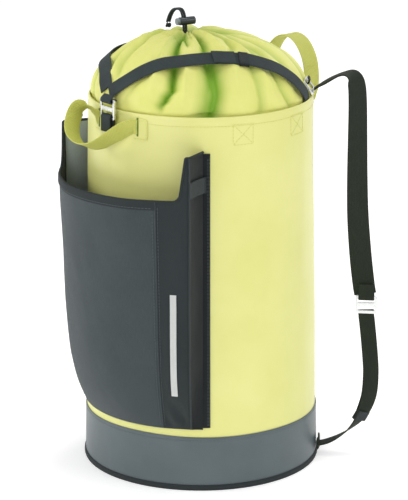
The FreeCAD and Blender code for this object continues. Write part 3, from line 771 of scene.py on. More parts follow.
def collar_cloth(name, low, high, columns, rows, extra, stands_for):
    dips = []

    def place(u, v):
        share = low + (high - low) * v
        spot, dip = collar_spot(360 * u, share, extra)
        dips.append(dip)
        return spot, (u * 2 * math.pi * COLLAR_FOOT_RADIUS, share * COLLAR_LENGTH)

    piece = woven(name, columns, rows, place)
    # Each point's depth in a fold, which the collar material turns into painted shade.
    depth = piece.data.attributes.new("fold_depth", "FLOAT", "POINT")
    depth.data.foreach_set("value", dips)
    reshaped(piece.data, merge=1e-6, sides=False)
    worked(piece, "SOLIDIFY", thickness=0.9 * MM, offset=-1)
    return fitted(piece, collar_finish, "lime_collar_fabric", [stands_for], sharp=75)


collar_finish = Finish("lime_collar_cloth", Specular_IOR_Level=0.4)
flat, along, around = collar_finish.on_cloth()
weave = (along * (math.pi / 0.9)).sine() * (around * (math.pi / 0.9)).sine()
cloudy = collar_finish.noise(flat, 0.03, 3.0)
grain = collar_finish.noise(flat, 0.6, 3.0)
# Base colour: painted shade, running from the lit cloth colour to a saturated green as the cloth lies deeper
# in a fold.
deep = collar_finish.attribute("fold_depth")
lit = collar_finish.mix(cloudy * 0.8 + grain * 0.2, colour(216, 219, 104), colour(233, 232, 146))
shaded = collar_finish.mix(grain, colour(112, 160, 38), colour(140, 184, 58))
painted_fold_shade = collar_finish.node("ShaderNodeMapRange", {}, {"Value": deep, 1: 1.8, 2: 11.5, 3: 0.0, 4: 1.0})
collar_finish.drive("Base Color", collar_finish.mix(painted_fold_shade, lit, shaded))
collar_finish.drive("Roughness", 0.42 + grain * 0.2)
collar_finish.bump(weave * 0.5 + grain * 0.6, 0.25)

collar = collar_cloth("collar_gathered", 0.0, 0.83, 340, 110, 0.0, "collar")
mouth = collar_cloth("collar_mouth_tunnel", 0.82, 1.0, 220, 24, 0.5, "collar_mouth")
tunnel_run = []
for i in range(181):
    spot, _ = collar_spot(2 * i, 0.835, 0.7)
    tunnel_run.append((spot, Vector((0, 0, 1))))
stitches("mouth_tunnel_stitching", [tunnel_run], lime_thread, "lime_collar_fabric", stitch=2.6)


# Closure strap
# One 20 mm charcoal polyester webbing is threaded through the hook's top bar; its two halves cross
# the collar and are sewn inside the rim at the back. An elastic keeper holds the folded tail.

CLOSURE_WIDTH = 20.0
WEBBING = 1.5
STRAP_LIFT, STRAP_LEFT_LIFT = 3.2, 1.9
STRAP_RIGHT_ROUTE = [
    (-3, 489), (7, 504), (17, 517), (28, 525), (40, 528.5), (53, 530.5), (67, 530.5), (75, 529.3),
    (82, 527.5), (87.5, 525), (93, 522.5), (105, 511), (113.5, 497), (118.5, 484),
]
STRAP_LEFT_ROUTE = [
    (-7, 492), (-12, 501), (-18, 508.5), (-26, 513), (-37, 515), (-49, 516), (-63, 516.5), (-78, 515.5),
    (-92, 511.5), (-104, 504), (-113, 495), (-118.5, 485),
]


def collar_share(height):
    """Share of the way to the mouth at which the collar is this high."""
    return next(i / DIVISIONS for i, step in enumerate(COLLAR_STEPS) if step[1] >= height)


def on_collar(angle, height, lift):
    """Point above the unfolded collar and the collar's outward direction there."""
    share = collar_share(height)
    _, _, rise_r, rise_z = COLLAR_STEPS[round(share * DIVISIONS)]
    spot, _ = collar_spot(angle, share, lift - 1.2 * ease(share, 0.05, 0.3), folded=False)
    return spot, (outward(angle) * rise_r + Vector((0, 0, rise_z))).normalized()


def laid_strap(route, lift):
    """Stations of (point, direction across, width) for webbing laid over the collar."""
    placed = [on_collar(angle, height, lift) for angle, height in route]
    last = len(placed) - 1
    stations = []
    for i, (point, normal) in enumerate(placed):
        along = placed[min(i + 1, last)][0] - placed[max(i - 1, 0)][0]
        stations.append((point, normal.cross(along).normalized(), CLOSURE_WIDTH))
    return stations


SELVEDGE = [(-1, 0), (-0.985, 0.62), (-0.93, 0.94), (-0.7, 1), (-0.35, 1),
            (0, 1), (0.35, 1), (0.7, 1), (0.93, 0.94), (0.985, 0.62)]
EDGE = SELVEDGE + [(-side, -rise) for side, rise in SELVEDGE]


def strap(name, stations, thickness=WEBBING, steps=8, cup=0.0):
    """Flat webbing with rounded selvedges through stations of (point, across, width), in mm."""
    rows = smooth([(*point, *across, width) for point, across, width in stations], steps)
    points = [Vector(row[0:3]) for row in rows]
    walked = [0.0]
    for a, b in zip(points, points[1:]):
        walked.append(walked[-1] + (b - a).length)
    rings = []
    for i, row in enumerate(rows):
        ahead = (points[min(i + 1, len(rows) - 1)] - points[max(i - 1, 0)]).normalized()
        across = Vector(row[3:6])
        across = (across - ahead * across.dot(ahead)).normalized()
        rings.append((points[i], across, ahead.cross(across), row[6]))

    def place(u, v):
        i = round(u * (len(rings) - 1))
        side, rise = EDGE[round(v * len(EDGE)) % len(EDGE)]
        point, across, face, width = rings[i]
        spot = point + across * (side * width / 2) + face * (rise * thickness / 2 + cup * side * side)
        return spot, (walked[i], side * width / 2)

    return woven(name, len(rings) - 1, len(EDGE), place, joined=True)


def sewn(name, stations, finish, slot, stands_for=(), body="bag", **shape):
    """Make a strap and fit it to the bag."""
    return fitted(strap(name, stations, **shape), finish, slot, stands_for, body=body)


def webbing(name, dark, light, rib=1.55, roughness=0.6, shine=0.35, column=2.2):
    """Woven webbing: weft ribs across it, warp columns along it, and a heathered yarn."""
    made = Finish(name, Specular_IOR_Level=shine)
    flat, along, across = made.on_cloth()
    shift = (across * (1 / column)).whole() * math.pi
    ribs = (along * (2 * math.pi / rib) + shift).sine()
    warp = (across * (math.pi / column)).sine().size() ** 0.4
    heather = made.noise(flat, 0.8, 3.0)
    dirt = made.noise(flat, 0.05, 2.0)
    shade = ribs * 0.16 + warp * 0.2 + heather * 0.45 + dirt * 0.25
    made.drive("Base Color", made.mix(shade, colour(*dark), colour(*light)))
    made.drive("Roughness", roughness + heather * 0.22)
    made.bump((ribs + 1.0) * warp + heather * 0.4, 0.28)
    return made


charcoal_webbing = webbing("charcoal_webbing", (24, 31, 32), (66, 77, 78))

for name, route, sign, lift in (("right", STRAP_RIGHT_ROUTE, 1, STRAP_LIFT),
                                ("left", STRAP_LEFT_ROUTE, -1, STRAP_LEFT_LIFT)):
    stations = laid_strap(route, lift)
    a = math.radians(sign * 120)
    back = Vector((math.cos(a), math.sin(a), 0))
    if stations[-1][1].dot(back) < 0:
        stations = [(point, across * -1, width) for point, across, width in stations]
    stations.append((outward(sign * 120.5) * 137.3 + UP * 477, back, 19.0))
    stations.append((outward(sign * 121) * 136.7 + UP * 469, back, 18.0))
    sewn("closure_strap_" + name + "_webbing", stations,
         charcoal_webbing, "charcoal_webbing", ["closure_strap_" + name], steps=6)

tail = laid_strap([(66.5, 530.5), (70, 530.4), (75, 529.3), (82, 527.5)], STRAP_LIFT + WEBBING + 0.2)
point, across, width = tail[0]
tail[0] = (point + UP * 0.6, across, width)
sewn("strap_tail_folded", tail, charcoal_webbing, "charcoal_webbing", ["strap_tail_fold"])

elastic = webbing("black_elastic", (18, 22, 24), (52, 60, 62), rib=0.9, roughness=0.5, column=1.1)


def band_round(name, stations, width_gap, thickness, wall_mm, finish, slot, body):
    """Closed elastic band that wraps a strap: stations are those of the strap inside it."""
    middle = stations[len(stations) // 2]
    ahead = (stations[-1][0] - stations[0][0]).normalized()
    across = (middle[1] - ahead * middle[1].dot(ahead)).normalized()
    face = ahead.cross(across)
    half_long = (stations[-1][0] - stations[0][0]).length / 2
    half_width, half_thick = middle[2] / 2 + width_gap, thickness / 2
    profile = []
    for i in range(40):
        turn = 2 * math.pi * i / 40
        c, s = math.cos(turn), math.sin(turn)
        wide, thick = math.copysign(abs(c) ** 0.3, c), math.copysign(abs(s) ** 0.55, s)
        profile.append((half_width * wide, half_thick * thick))
    girth = 2 * (2 * half_width + 2 * half_thick)
    rows = [(-1, 0), (-0.97, 0.8), (-0.85, 1), (0, 1), (0.85, 1), (0.97, 0.8), (1, 0), (0.97, -0.2),
            (0, -0.2), (-0.97, -0.2)]

    def place(u, v):
        a, b = profile[round(u * 40) % 40]
        long, out = (rows + rows[:1])[round(v * 10)]
        grow = 1 + out * wall_mm / max(half_thick + 1.2, 1)
        spot = middle[0] + across * (a + math.copysign(wall_mm * out * 0.8, a) * (abs(a) > half_width * 0.6))
        spot += face * b * grow + ahead * long * half_long
        return spot, (u * girth, long * half_long)

    piece = woven(name, 40, 10, place, joined=True)
    return fitted(piece, finish, slot, [name.replace("_stitched", "")], body=body, sharp=50)


keeper = laid_strap([(84.5, 526.4), (87.5, 525.0), (90.5, 523.6)], STRAP_LIFT + 0.1)
band_round("strap_keeper_stitched", keeper, 0.5, 3.4, 0.9, elastic, "black_elastic", "bag")


# Closure hook
# Flat aluminium hook, stamped and tumbled. The strap wraps its top bar, and a folded webbing tab on
# its low bar is the pull for unhooking it from the loop sewn on the rim.

def metal(name, dark, light, roughness):
    made = Finish(name, Metallic=1.0)
    where = made.in_space()
    tumbled = made.noise(where, 260.0, 3.0)
    scuffs = made.noise(where, 1500.0, 2.0)
    made.drive("Base Color", made.mix(tumbled, dark, light))
    made.drive("Roughness", roughness + tumbled * 0.16 + scuffs * 0.08)
    made.bump(scuffs * 0.4 + tumbled, 0.06)
    return made


bright = metal("bright_aluminium", (0.62, 0.63, 0.62, 1), (0.86, 0.87, 0.86, 1), 0.16)
softened("closure_hook", "closure_hook_stamped", 0.45, bright, "bright_aluminium", "closure_hook")


def bar_loop(name, centre, bar, leg_way, width, inner, leg, finish, slot, stands_for, body):
    """Webbing folded round a bar; its two legs run along leg_way."""
    radius = inner + WEBBING / 2
    face = bar.cross(leg_way).normalized()
    way = leg_way.normalized()
    line = []
    for sign in (1, -1):
        legs = [centre + face * sign * radius + way * leg * t for t in (1, 0.66, 0.33, 0)]
        if sign == -1:
            legs.reverse()
        line.append(legs)
    arc = []
    for i in range(1, 8):
        turn = math.pi * i / 8
        arc.append(centre + face * radius * math.cos(turn) - way * radius * math.sin(turn))
    stations = [(p, bar, width) for p in line[0] + arc + line[1]]
    return sewn(name, stations, finish, slot, stands_for, body, thickness=WEBBING - 0.1, steps=2)


HOOK_Y, HOOK_TOP_BAR, HOOK_LOW_BAR = -147.0, 484.0, 463.0
ACROSS = Vector((1, 0, 0))
lead = math.radians(35)
bar_loop("closure_strap_wrap_webbing", Vector((0, HOOK_Y, HOOK_TOP_BAR)), ACROSS,
         Vector((0, math.cos(lead), math.sin(lead))), 19.5, 2.75, 5.8, charcoal_webbing, "charcoal_webbing",
         ["closure_strap_wrap"], "bag")
black_webbing = webbing("black_webbing", (14, 19, 12), (44, 54, 40))
bar_loop("hook_pull_tab_folded", Vector((0, HOOK_Y, HOOK_LOW_BAR)), ACROSS, -UP, 18.0, 2.75, 17.5,
         charcoal_webbing, "charcoal_webbing", ["hook_pull_tab"], "pull_tab")

lime_webbing = webbing("lime_webbing", (172, 178, 66), (228, 228, 128), rib=1.9, roughness=0.5)
rim_stations = [(Vector((0, -141.8, z)), ACROSS, 16.0) for z in (456, 461, 467.5)]
sewn("rim_loop_sewn", rim_stations, lime_webbing, "lime_webbing", ["rim_loop"], thickness=1.2, steps=3)


# Carrying handles
# 25 mm lime webbing loops. Their ends go in through slots cut in the wall, each under a rounded patch
# of the tube's own tarpaulin welded over the wall, and are sewn inside.

FRONT_LOOP = [
    # degrees, radius, height, width, share of the width that stands upright
    (-8.6, 138, 453, 17, 1.0), (-10, 140, 455, 18, 1.0), (-11.8, 143.4, 459, 21, 0.9),
    (-14.3, 148, 465, 24, 0.75), (-16.2, 154, 469, 25, 0.5),
    (-16.8, 162.5, 467, 25, 0.4), (-15.6, 170.5, 457, 25, 0.4), (-13.4, 175.5, 443, 25, 0.4),
    (-10, 175, 432.5, 25, 0.42), (-5, 170, 427.5, 25, 0.42), (1, 164.3, 432, 25, 0.45),
    (7, 158, 443.5, 25, 0.55), (11.5, 149.5, 453, 23, 0.8), (14.5, 144.9, 456.5, 20, 0.92),
    (16.8, 142.0, 456.5, 18, 1.0), (18, 139.6, 456, 17, 1.0),
    (18.8, 138, 456, 17, 1.0),
]
stations = []
for angle, radius, height, width, upright in FRONT_LOOP:
    across = Vector((0, -math.sqrt(max(0, 1 - upright ** 2)), upright))
    stations.append((outward(angle) * radius + UP * height, across, width))
front_handle = sewn("front_handle_webbing", stations,
                    lime_webbing, "lime_webbing", ["front_handle", "front_handle_ends"], body=None,
                    steps=7, cup=0.4)
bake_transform(front_handle)

BACK_HALF = [(-37.6, 446, 14), (-38.2, 453, 18), (-38.6, 464, 25), (-38.2, 484, 25), (-32.5, 503.5, 25),
             (-18, 519.6, 25), (0, 525.6, 25)]
back_loop = [(x, 150.5 + 0.4 * math.sin(x), z, w) for x, z, w in BACK_HALF]
back_loop += [(-x, y, z, w) for x, y, z, w in reversed(back_loop[:-1])]
stations = [(Vector((x, y, z)), Vector((0, 1, 0)), width) for x, y, z, width in back_loop]
sewn("back_handle_webbing", stations,
     lime_webbing, "lime_webbing", ["back_handle"], body="back_handle", steps=8, cup=0.4)
for name, side in (("left", -1), ("right", 1)):
    stations = [(Vector((side * 35.4, y, 452)), UP, 16) for y in (137, 144, 150, 155.3)]
    sewn("back_handle_end_" + name, stations, lime_webbing, "lime_webbing", ["back_handle_ends"], steps=4)


PATCH_LOW, PATCH_HIGH, PATCH_STEPS = 440, 467, 18
PATCH_RADIUS = 141


def welded_patch(name, middle, half_wide, lip, stands_for):
    """Rounded tarpaulin patch; lip is how far its edge towards the loop stands off the wall."""
    centre, half_high = (PATCH_LOW + PATCH_HIGH) / 2, (PATCH_HIGH - PATCH_LOW) / 2

    def place(u, v):
        a, b = 2 * u - 1, 2 * v - 1
        squeeze_a = a * (1 - 0.10 * abs(b) ** 5)
        squeeze_b = b * (1 - 0.10 * abs(a) ** 5)
        angle = middle + math.degrees(squeeze_a * half_wide / PATCH_RADIUS)
        height = centre + squeeze_b * half_high
        raised = lip * ease(-a, -0.7, 1.0) * max(0.0, 1 - b * b) ** 0.7
        return wall(angle, height, 1.3 + raised), (a * half_wide, height)

    piece = woven(name, PATCH_STEPS, PATCH_STEPS, place)
    worked(piece, "SOLIDIFY", thickness=1.1 * MM, offset=-1)
    worked(piece, "BEVEL", width=0.3 * MM, segments=2, limit_method="ANGLE", angle_limit=math.radians(60))
    fitted(piece, tarp_finish, "lime_tarpaulin", [stands_for])
    edge = []
    for a, b in ((-0.82, -0.84), (0.84, -0.84), (0.84, 0.84), (-0.82, 0.84)):
        edge.append((middle + math.degrees(a * half_wide / PATCH_RADIUS), centre + b * half_high))
    return wall_run(edge, 1.8)


patch_runs = []
for name, middle, half_wide, lip in (("front_left", -11.6, 10.5, 0.2), ("front_right", 18.8, 10.5, 0.2),
                                     ("back_left", 165, 13, 0.4), ("back_right", 195, 13, 0.4)):
    stands_for = name.split("_")[0] + "_handle_patches"
    patch_runs.append(welded_patch("handle_patch_" + name, middle, half_wide, lip, stands_for))
stitches("handle_patch_stitching", patch_runs, lime_thread, "lime_tarpaulin")

# Dark green strips on the wall where the handle ends go in: painted shade in the slots under the patches.
slot_painted_shade = Finish("handle_slot_painted_shade", Roughness=0.6)
slot_shade_noise = slot_painted_shade.noise(slot_painted_shade.in_space(), 500.0)
slot_painted_shade.drive("Base Color", slot_painted_shade.mix(slot_shade_noise, colour(58, 84, 24), colour(108, 136, 40)))
SLOT_HEIGHT = 456.5
for name, angle in (("right", 17.5), ("left", -10.9)):
    stations = [(wall(angle, SLOT_HEIGHT + rise, 1.5), outward(angle + 90), width)
                for rise, width in ((-11.5, 1.2), (-10, 2.6), (0, 3.0), (10, 2.6), (11.5, 1.2))]
    sewn("handle_slot_shade_strip_" + name, stations, slot_painted_shade, "lime_tarpaulin", thickness=0.7, steps=4)


# Inner gear loops
# Lime webbing sewn flat through the wall on both sides, left slack in the middle for snap hooks.

INNER_LOOP = [(66, 138.5), (71, 138.5), (76, 135.5), (83, 130.5), (90, 128.8), (97, 130.5), (104, 135.5),
              (109, 138.5), (113, 138.5)]
INNER_LOOP_HEIGHT, INNER_LOOP_WIDTH = 448.5, 24.0
SIDES = (("right", 1), ("left", -1))
for name, side in SIDES:
    stations = []
    for angle, radius in INNER_LOOP:
        point = outward(side * angle) * (radius - 0.4) + UP * INNER_LOOP_HEIGHT
        stations.append((point, UP, INNER_LOOP_WIDTH))
    sewn("inner_loop_" + name + "_webbing", stations,
         lime_webbing, "lime_webbing", ["inner_loop_" + name], steps=5)


# Tool pocket
# Bellows pocket of heavy charcoal polyester cloth: a curved front, two side panels whose tops are
# scooped down to the taped mouth, gussets that fold in to the wall, and flanges sewn to the tube.

POCKET_SEAM, POCKET_FOLD, POCKET_BACK, POCKET_FLANGE = 32.0, 45.5, 51.0, 54.5
POCKET_MOUTH, POCKET_TOP, POCKET_FOOT = 377.0, 431.0, 80.0
SIDE_PANEL_WIDTH, SIDE_TAB_HEIGHT = 41.6, 391
MM_PER_DEGREE = 3.1  # along the pocket's front
POCKET_ROWS = smooth([
    (POCKET_FOOT, 149.6, 150.6, 149.4), (96, 153.6, 161, 154.6), (115, 158, 170, 160),
    (137, 162.5, 176, 165.3), (160, 166, 180, 169), (205, 169.4, 183.6, 171.2), (253, 172, 186, 172),
    (315, 175, 187.2, 172.3), (POCKET_MOUTH, 178, 188, 172.5), (POCKET_TOP, 179, 189, 173),
], 8)


def pocket_radii(height):
    """Radius of the pocket's seam, its middle and its fold at a height."""
    for first, second in zip(POCKET_ROWS, POCKET_ROWS[1:]):
        if height <= second[0]:
            break
    t = min(1.0, max(0.0, (height - first[0]) / (second[0] - first[0])))
    return [a + (b - a) * t for a, b in zip(first[1:], second[1:])]


def ripple(x, height, seed, reach):
    """Slight unevenness of stiff cloth, in mm."""
    slow = noise.noise(Vector((x / 42, height / 75, seed)))
    quick = noise.noise(Vector((x / 17 + height / 60, height / 40, seed + 5)))
    return reach * (slow + 0.35 * quick)


def front_spot(angle, height, proud=0.0):
    seam, middle, _ = pocket_radii(height)
    share = angle / POCKET_SEAM
    radius = seam + (middle - seam) * (1 - share ** 2) * (1 - 0.06 * share ** 2)
    edge = (1 - abs(share) ** 6) * ease(height, POCKET_FOOT, POCKET_FOOT + 25)
    return outward(angle) * (radius + proud + edge * ripple(angle * 3, height, 1.0, 1.3)) + UP * height


def pocket_cloth(name, dark, light):
    """Heathered plain weave of heavy polyester yarn."""
    made = Finish(name, Specular_IOR_Level=0.3, Sheen_Weight=0.12, Sheen_Roughness=0.45)
    flat, along, across = made.on_cloth()
    warp = (along * (math.pi / 0.62)).sine()
    weft = (across * (math.pi / 0.62)).sine()
    weave = (warp * weft).size()
    drawn_out = made.node("ShaderNodeVectorMath", {"operation": "MULTIPLY"}, {0: flat, 1: (0.9, 0.12, 1)})
    yarns = made.noise(drawn_out, 1.0, 3.0)
    heather = made.noise(flat, 1.0, 3.0)
    worn = made.noise(flat, 0.018, 3.0)
    shade = weave * 0.2 + yarns * 0.3 + heather * 0.3 + worn * 0.25
    made.drive("Base Color", made.mix(shade, colour(*dark), colour(*light)))
    made.drive("Roughness", 0.62 + heather * 0.25)
    made.bump(weave * 0.6 + heather * 0.5 + yarns * 0.4, 0.3)
    return made


# The front's colours are the cloth's own. The side panels' darker copy is painted shade for faces turned from
# the light, and the gussets' and flanges' darkest copy is painted shade in the recess.
front_cloth = pocket_cloth("pocket_front_cloth", (36, 43, 45), (82, 92, 95))
side_cloth_painted_shade = pocket_cloth("pocket_side_cloth_painted_shade", (24, 30, 31), (56, 64, 66))
gusset_cloth_painted_shade = pocket_cloth("pocket_gusset_cloth_painted_shade", (10, 13, 14), (36, 42, 44))
CLOTH = 1.3


def front_place(u, v):
    angle = (2 * u - 1) * (POCKET_SEAM - 0.05)
    height = POCKET_FOOT + (POCKET_MOUTH - 2 - POCKET_FOOT) * v
    return front_spot(angle, height), (angle * MM_PER_DEGREE, height)


def cut_panel(name, columns, rows, place, finish, stands_for=(), thickness=CLOTH, offset=-1):
    """Panel of pocket cloth with its thickness."""
    panel = woven(name, columns, rows, place)
    worked(panel, "SOLIDIFY", thickness=thickness * MM, offset=offset)
    return fitted(panel, finish, "pocket_cloth", stands_for, sharp=60)


cut_panel("pocket_front_cloth", 60, 96, front_place, front_cloth, ["pocket_front_panel"])

MOUTH_TAPE = [(0.9, 366.2), (1.4, 367), (1.5, 372), (1.3, 376.6), (0.5, 378.2), (-0.7, 378.7),
              (-1.9, 378.2), (-2.7, 376.6), (-2.9, 372), (-2.8, 367), (-2.2, 366.2), (-0.7, 366.4)]


def tape_place(u, v):
    angle = (2 * u - 1) * POCKET_SEAM
    proud, height = (MOUTH_TAPE + MOUTH_TAPE[:1])[round(v * len(MOUTH_TAPE))]
    spot = front_spot(angle, min(height, POCKET_MOUTH - 2), proud)
    spot.z = height
    return spot, (angle * MM_PER_DEGREE, height + proud)


tape = woven("pocket_mouth_tape", 60, len(MOUTH_TAPE), tape_place, joined=True)
fitted(tape, tape_finish, "dark_binding", ["pocket_mouth_binding"], sharp=50)
tape_seam = [(front_spot(a, 368.6, 1.55), outward(a)) for a in range(-31, 32, 2)]
pocket_runs = [tape_seam]


def side_corner(kind, height):
    """Point on the +X side: where the side panel starts, its fold, or the gusset's back edge."""
    seam, _, fold = pocket_radii(height)
    if kind == "seam":
        return outward(POCKET_SEAM) * seam + UP * height
    if kind == "fold":
        return outward(POCKET_FOLD) * fold + UP * height
    return wall(POCKET_BACK, height, 2.9)


def scoop(across):
    """Height of the side panel's cut top, from the distance to the front seam."""
    if across < 21:
        return POCKET_MOUTH
    if across < 31:
        t = (across - 21) / 10
        return POCKET_MOUTH + 12 * (1 - math.sqrt(max(0.0, 1 - t ** 2)))
    return min(POCKET_TOP, POCKET_MOUTH + 12 + (across - 31) * 7)


def flipped(spot, side):
    return Vector((spot.x * side, spot.y, spot.z))


def side_spot(share, height, side, proud=0.0):
    """Point on a side panel at a share of the way from the seam to the fold."""
    start, end = side_corner("seam", height), side_corner("fold", height)
    along = (end - start).normalized()
    out = along.cross(UP)
    puff = 2.0 * math.sin(math.pi * share) * ease(height, POCKET_FOOT, 150)
    puff += math.sin(math.pi * share) * ripple(share * 40, height, 3.0 * side, 2.2)
    low_fold = 2.5 * math.sin(9 * share + height / 9) * (1 - ease(height, 88, 130))
    low_fold *= math.sin(math.pi * share)
    puff += low_fold * ease(height, POCKET_FOOT, 92)
    return flipped(start.lerp(end, share) + out * (proud + puff), side)


piping_finish = webbing("fold_piping", (34, 40, 42), (78, 86, 88), rib=1.2, roughness=0.5, column=0.9)
grey_webbing = webbing("grey_webbing", (34, 40, 42), (74, 82, 84), rib=1.3, roughness=0.5)


def gusset_spot(share, height, side, inward=0.0):
    """Point on a gusset at a share of the way from the fold to the wall, and its spot on the cloth."""
    start, end = side_corner("fold", height), side_corner("back", height)
    out = (end - start).normalized().cross(UP)
    bow = -1.6 * math.sin(math.pi * share) * ease(height, POCKET_FOOT, 140) - inward
    bow += math.sin(math.pi * share) * ripple(share * 25, height, 7.0 * side, 1.6)
    return flipped(start.lerp(end, share) + out * bow, side), (share * 28 + 150, height)


for name, side in SIDES:

    def panel_place(u, v):
        share = u if side > 0 else 1 - u
        top = scoop(share * SIDE_PANEL_WIDTH) - 0.5
        height = POCKET_FOOT + (top - POCKET_FOOT) * v
        return side_spot(share, height, side), (share * SIDE_PANEL_WIDTH + 100, height)

    cut_panel("pocket_side_" + name + "_cloth", 28, 90, panel_place, side_cloth_painted_shade,
              ["pocket_side_panel_" + name])

    def gusset_place(u, v):
        share = u if side > 0 else 1 - u
        return gusset_spot(share, POCKET_FOOT + (POCKET_TOP - POCKET_FOOT) * v, side)

    cut_panel("pocket_gusset_" + name + "_cloth", 18, 90, gusset_place, gusset_cloth_painted_shade,
              ["pocket_gusset_" + name])

    def flange_place(u, v):
        share = u if side > 0 else 1 - u
        height = 82 + (POCKET_TOP - 2 - 82) * v
        lift = 1.7 + 0.4 * math.sin(math.pi * share)
        angle = POCKET_BACK - 0.6 + (POCKET_FLANGE - POCKET_BACK + 0.6) * share
        return wall(side * angle, height, lift), (share * 10 + 190, height)

    cut_panel("pocket_flange_" + name + "_cloth", 6, 90, flange_place, gusset_cloth_painted_shade,
              ["pocket_flange_" + name])

    for kind, top, angle, gap, radius, finish, slot in (
            ("seam", POCKET_MOUTH, POCKET_SEAM, 0.3, 0.9, front_cloth, "pocket_cloth"),
            ("fold", POCKET_TOP, POCKET_FOLD, 0.5, 1.25, piping_finish, "grey_webbing")):
        line = []
        for i in range(61):
            height = POCKET_FOOT + 2 + (top - POCKET_FOOT - 2) * i / 60
            line.append(flipped(side_corner(kind, height) + outward(angle) * gap, side))
        cordlet = rope("pocket_" + kind + "_" + name + "_piping", line, radius, sides=8)
        fitted(cordlet, finish, slot, sharp=80)

    rim_line = []
    for i in range(45):
        share = i / 44
        rim_line.append(side_spot(share, scoop(share * SIDE_PANEL_WIDTH), side, -0.6))
    for i in range(1, 13):
        start, end = side_corner("fold", POCKET_TOP), side_corner("back", POCKET_TOP)
        rim_line.append(flipped(start.lerp(end, i / 12) + UP * 0.2, side))
    rim_tape = rope("pocket_side_" + name + "_tape", rim_line, 1.7, sides=10)
    fitted(rim_tape, tape_finish, "dark_binding", sharp=80)

    stations = []
    for share in (-0.03, 0.1, 0.5, 0.9, 1.0):
        start, end = (side_corner(kind, SIDE_TAB_HEIGHT) for kind in ("fold", "back"))
        out = (end - start).normalized().cross(UP)
        bow = -1.2 * math.sin(math.pi * max(0, min(1, share)))
        stations.append((flipped(start.lerp(end, share) + out * (2.0 + bow), side), UP, 20.0))
    stations.append((wall(side * (POCKET_BACK + 1.6), SIDE_TAB_HEIGHT, 4.0), UP, 20.0))
    sewn("pocket_side_tab_" + name + "_webbing", stations,
         grey_webbing, "grey_webbing", ["pocket_side_tab_" + name], thickness=1.2, steps=4)

    for inset in (0.9, 2.7):
        angle = side * (POCKET_FLANGE - inset * 0.41)
        pocket_runs.append([(wall(angle, z, 2.2), outward(side * POCKET_FLANGE)) for z in range(84, 428, 4)])
    pocket_runs.append([(side_spot(0.07, z, side, 0.25), outward(side * 36)) for z in range(84, 374, 4)])
    pocket_runs.append([(front_spot(side * 30.9, z, 0.25), outward(side * 31)) for z in range(84, 366, 4)])
stitches("pocket_stitching", pocket_runs, dark_thread, "pocket_cloth", yarn=0.3)

# Light sheet on the inside of the left gusset: the cloth's paler inner face, painted lighter still as painted
# light where the lamps leave it in shade.
lining_cloth_painted_light = pocket_cloth("pocket_lining_cloth_painted_light", (118, 128, 132), (176, 186, 190))
LINING_LOW, LINING_HIGH = POCKET_MOUTH - 60, POCKET_TOP - 1


def lining_place(u, v):
    height = LINING_LOW + (LINING_HIGH - LINING_LOW) * v
    return gusset_spot(0.04 + 0.92 * (1 - u), height, -1, CLOTH + 0.25)


cut_panel("pocket_lining_left", 18, 60, lining_place, lining_cloth_painted_light, thickness=0.3, offset=0)

strip_finish = webbing("pale_trim", (206, 210, 208), (240, 242, 240), rib=1.0, roughness=0.45)
stations = []
for height in range(128, 262, 12):
    left, middle, right = (side_spot(share, height, 1, 0.7) for share in (0.2, 0.5, 0.8))
    stations.append((middle, right - left, 8.0))
sewn("pocket_pale_trim", stations, strip_finish, "grey_webbing", thickness=0.6, steps=3)


# Shoulder straps
# Unpadded 28 mm black webbing on each side of the back, sewn to a loop in a three-bar adjuster; the
# lower 20 mm webbing runs back through it and ends in a tab sewn to the base band.

STRAP_ANGLE = 133.0
STRAP_ROUTE = [
    (141.5, 480.5, 0, 13), (148, 485, 0, 15), (154, 488.6, 0, 22), (163, 494, 5, 28), (174, 499.5, 14, 28),
    (183, 500.5, 26, 28), (190, 496, 38, 28), (194, 485, 46, 28), (195.5, 462, 50, 28), (196, 420, 55, 28),
    (196.5, 370, 62, 28), (198, 320, 70, 28), (202, 270, 80, 28), (206.5, 232, 88, 28), (209, 217, 90, 28),
]
LOWER_ROUTE = [
    (210.2, 196.5, 90, 20), (210.8, 188, 90, 20), (213, 170, 90, 20), (216.5, 135, 90, 20),
    (218, 109, 85, 20), (216, 80, 70, 20), (207, 54, 48, 20), (193, 36, 26, 20), (178, 24.5, 10, 20),
    (166, 18, 0, 20),
    (156, 14.6, 0, 20), (151.4, 14.6, 0, 19),
]
ADJUSTER_RADIUS, ADJUSTER_HEIGHT, ADJUSTER_BAR_OFFSET = 210.5, 203.0, 9.5
BASE_TAB_RADIUS, BASE_TAB_HALF, BASE_TAB_HEIGHT = 151.6, 12, 16.5


def beside(radius, height, twist, side, offset=0.0):
    """Point on a shoulder strap's route and the direction across the strap there."""
    turn = math.radians(twist)
    a = math.radians(STRAP_ANGLE)
    out = Vector((math.sin(a), -math.cos(a), 0))
    sideways = Vector((math.cos(a), math.sin(a), 0))
    across = sideways * math.cos(turn) + out * math.sin(turn)
    point = out * radius + UP * height + across.cross(UP).normalized() * offset
    return flipped(point, side), flipped(across, side)


def strap_stations(route, side, offset=0.0):
    made = []
    for radius, height, twist, width in route:
        point, across = beside(radius, height, twist, side, offset)
        made.append((point, across, width))
    return made


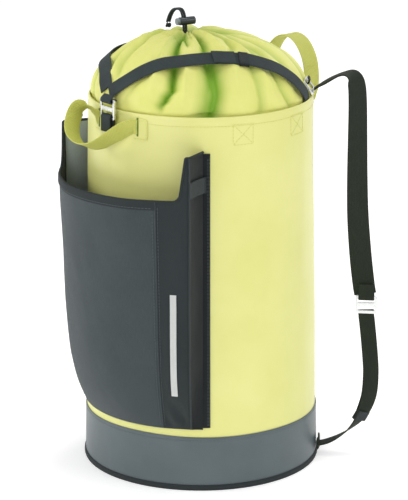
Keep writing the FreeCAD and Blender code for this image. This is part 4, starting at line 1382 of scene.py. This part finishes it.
for name, side in SIDES:
    body = "shoulder_strap_" + name
    upper = sewn("shoulder_strap_" + name + "_webbing", strap_stations(STRAP_ROUTE, side),
                 black_webbing, "black_webbing", [body], body=None, thickness=2.0, steps=7)
    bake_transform(upper)
    lower = sewn("lower_webbing_" + name + "_woven", strap_stations(LOWER_ROUTE, side),
                 black_webbing, "black_webbing", ["lower_webbing_" + name], body=None, steps=7)
    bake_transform(lower)
    sewn("webbing_tail_" + name + "_woven", strap_stations(LOWER_ROUTE[1:7], side, -2.4),
         black_webbing, "black_webbing", ["webbing_tail_" + name], body=body, steps=7)
    inside = strap_stations([(209.6, 61, 52, 20), (207, 54, 48, 20), (203.3, 49, 42, 20)], side, -1.2)
    band_round("webbing_keeper_" + name + "_stitched", inside, 0.6, 5.0, 0.9, elastic, "black_elastic", body)
    softened("adjuster_" + name, "adjuster_" + name + "_stamped", 0.45, bright, "bright_aluminium", body)
    bar, bar_across = beside(ADJUSTER_RADIUS, ADJUSTER_HEIGHT + ADJUSTER_BAR_OFFSET, 90, side)
    bar_loop("adjuster_loop_" + name + "_webbing", bar, bar_across, UP, 20.0, 2.5, 18.0, black_webbing,
             "black_webbing", ["adjuster_loop_" + name], body)

    tab_stations = []
    a = math.radians(side * STRAP_ANGLE)
    tangent = Vector((math.cos(a), math.sin(a), 0))
    for share, width in ((-1, 14), (-0.8, 16), (0, 16), (0.8, 16), (1, 14)):
        spot = outward(side * STRAP_ANGLE) * (BASE_TAB_RADIUS + 1.3 * (1 - abs(share)))
        spot += tangent * (BASE_TAB_HALF * share) + UP * BASE_TAB_HEIGHT
        tab_stations.append((spot, UP, width))
    sewn("base_anchor_tab_" + name + "_sewn", tab_stations,
         black_webbing, "black_webbing", ["base_anchor_tab_" + name], thickness=2.2, steps=4)

    softened("strap_ring_" + name, "strap_ring_" + name + "_stamped", 0.6, bright, "bright_aluminium", "bag")
    ring_low, ring_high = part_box("strap_ring_" + name)
    ring_middle = (ring_low + ring_high) / 2 / MM
    slope = math.radians(55)
    down = outward(side * STRAP_ANGLE) * math.cos(slope) - UP * math.sin(slope)
    bar_loop("ring_anchor_" + name + "_webbing", ring_middle - down * 8.0, tangent, down * -1, 13.0, 4.4, 2.0,
             black_webbing, "black_webbing", ["ring_anchor_" + name], "bag")
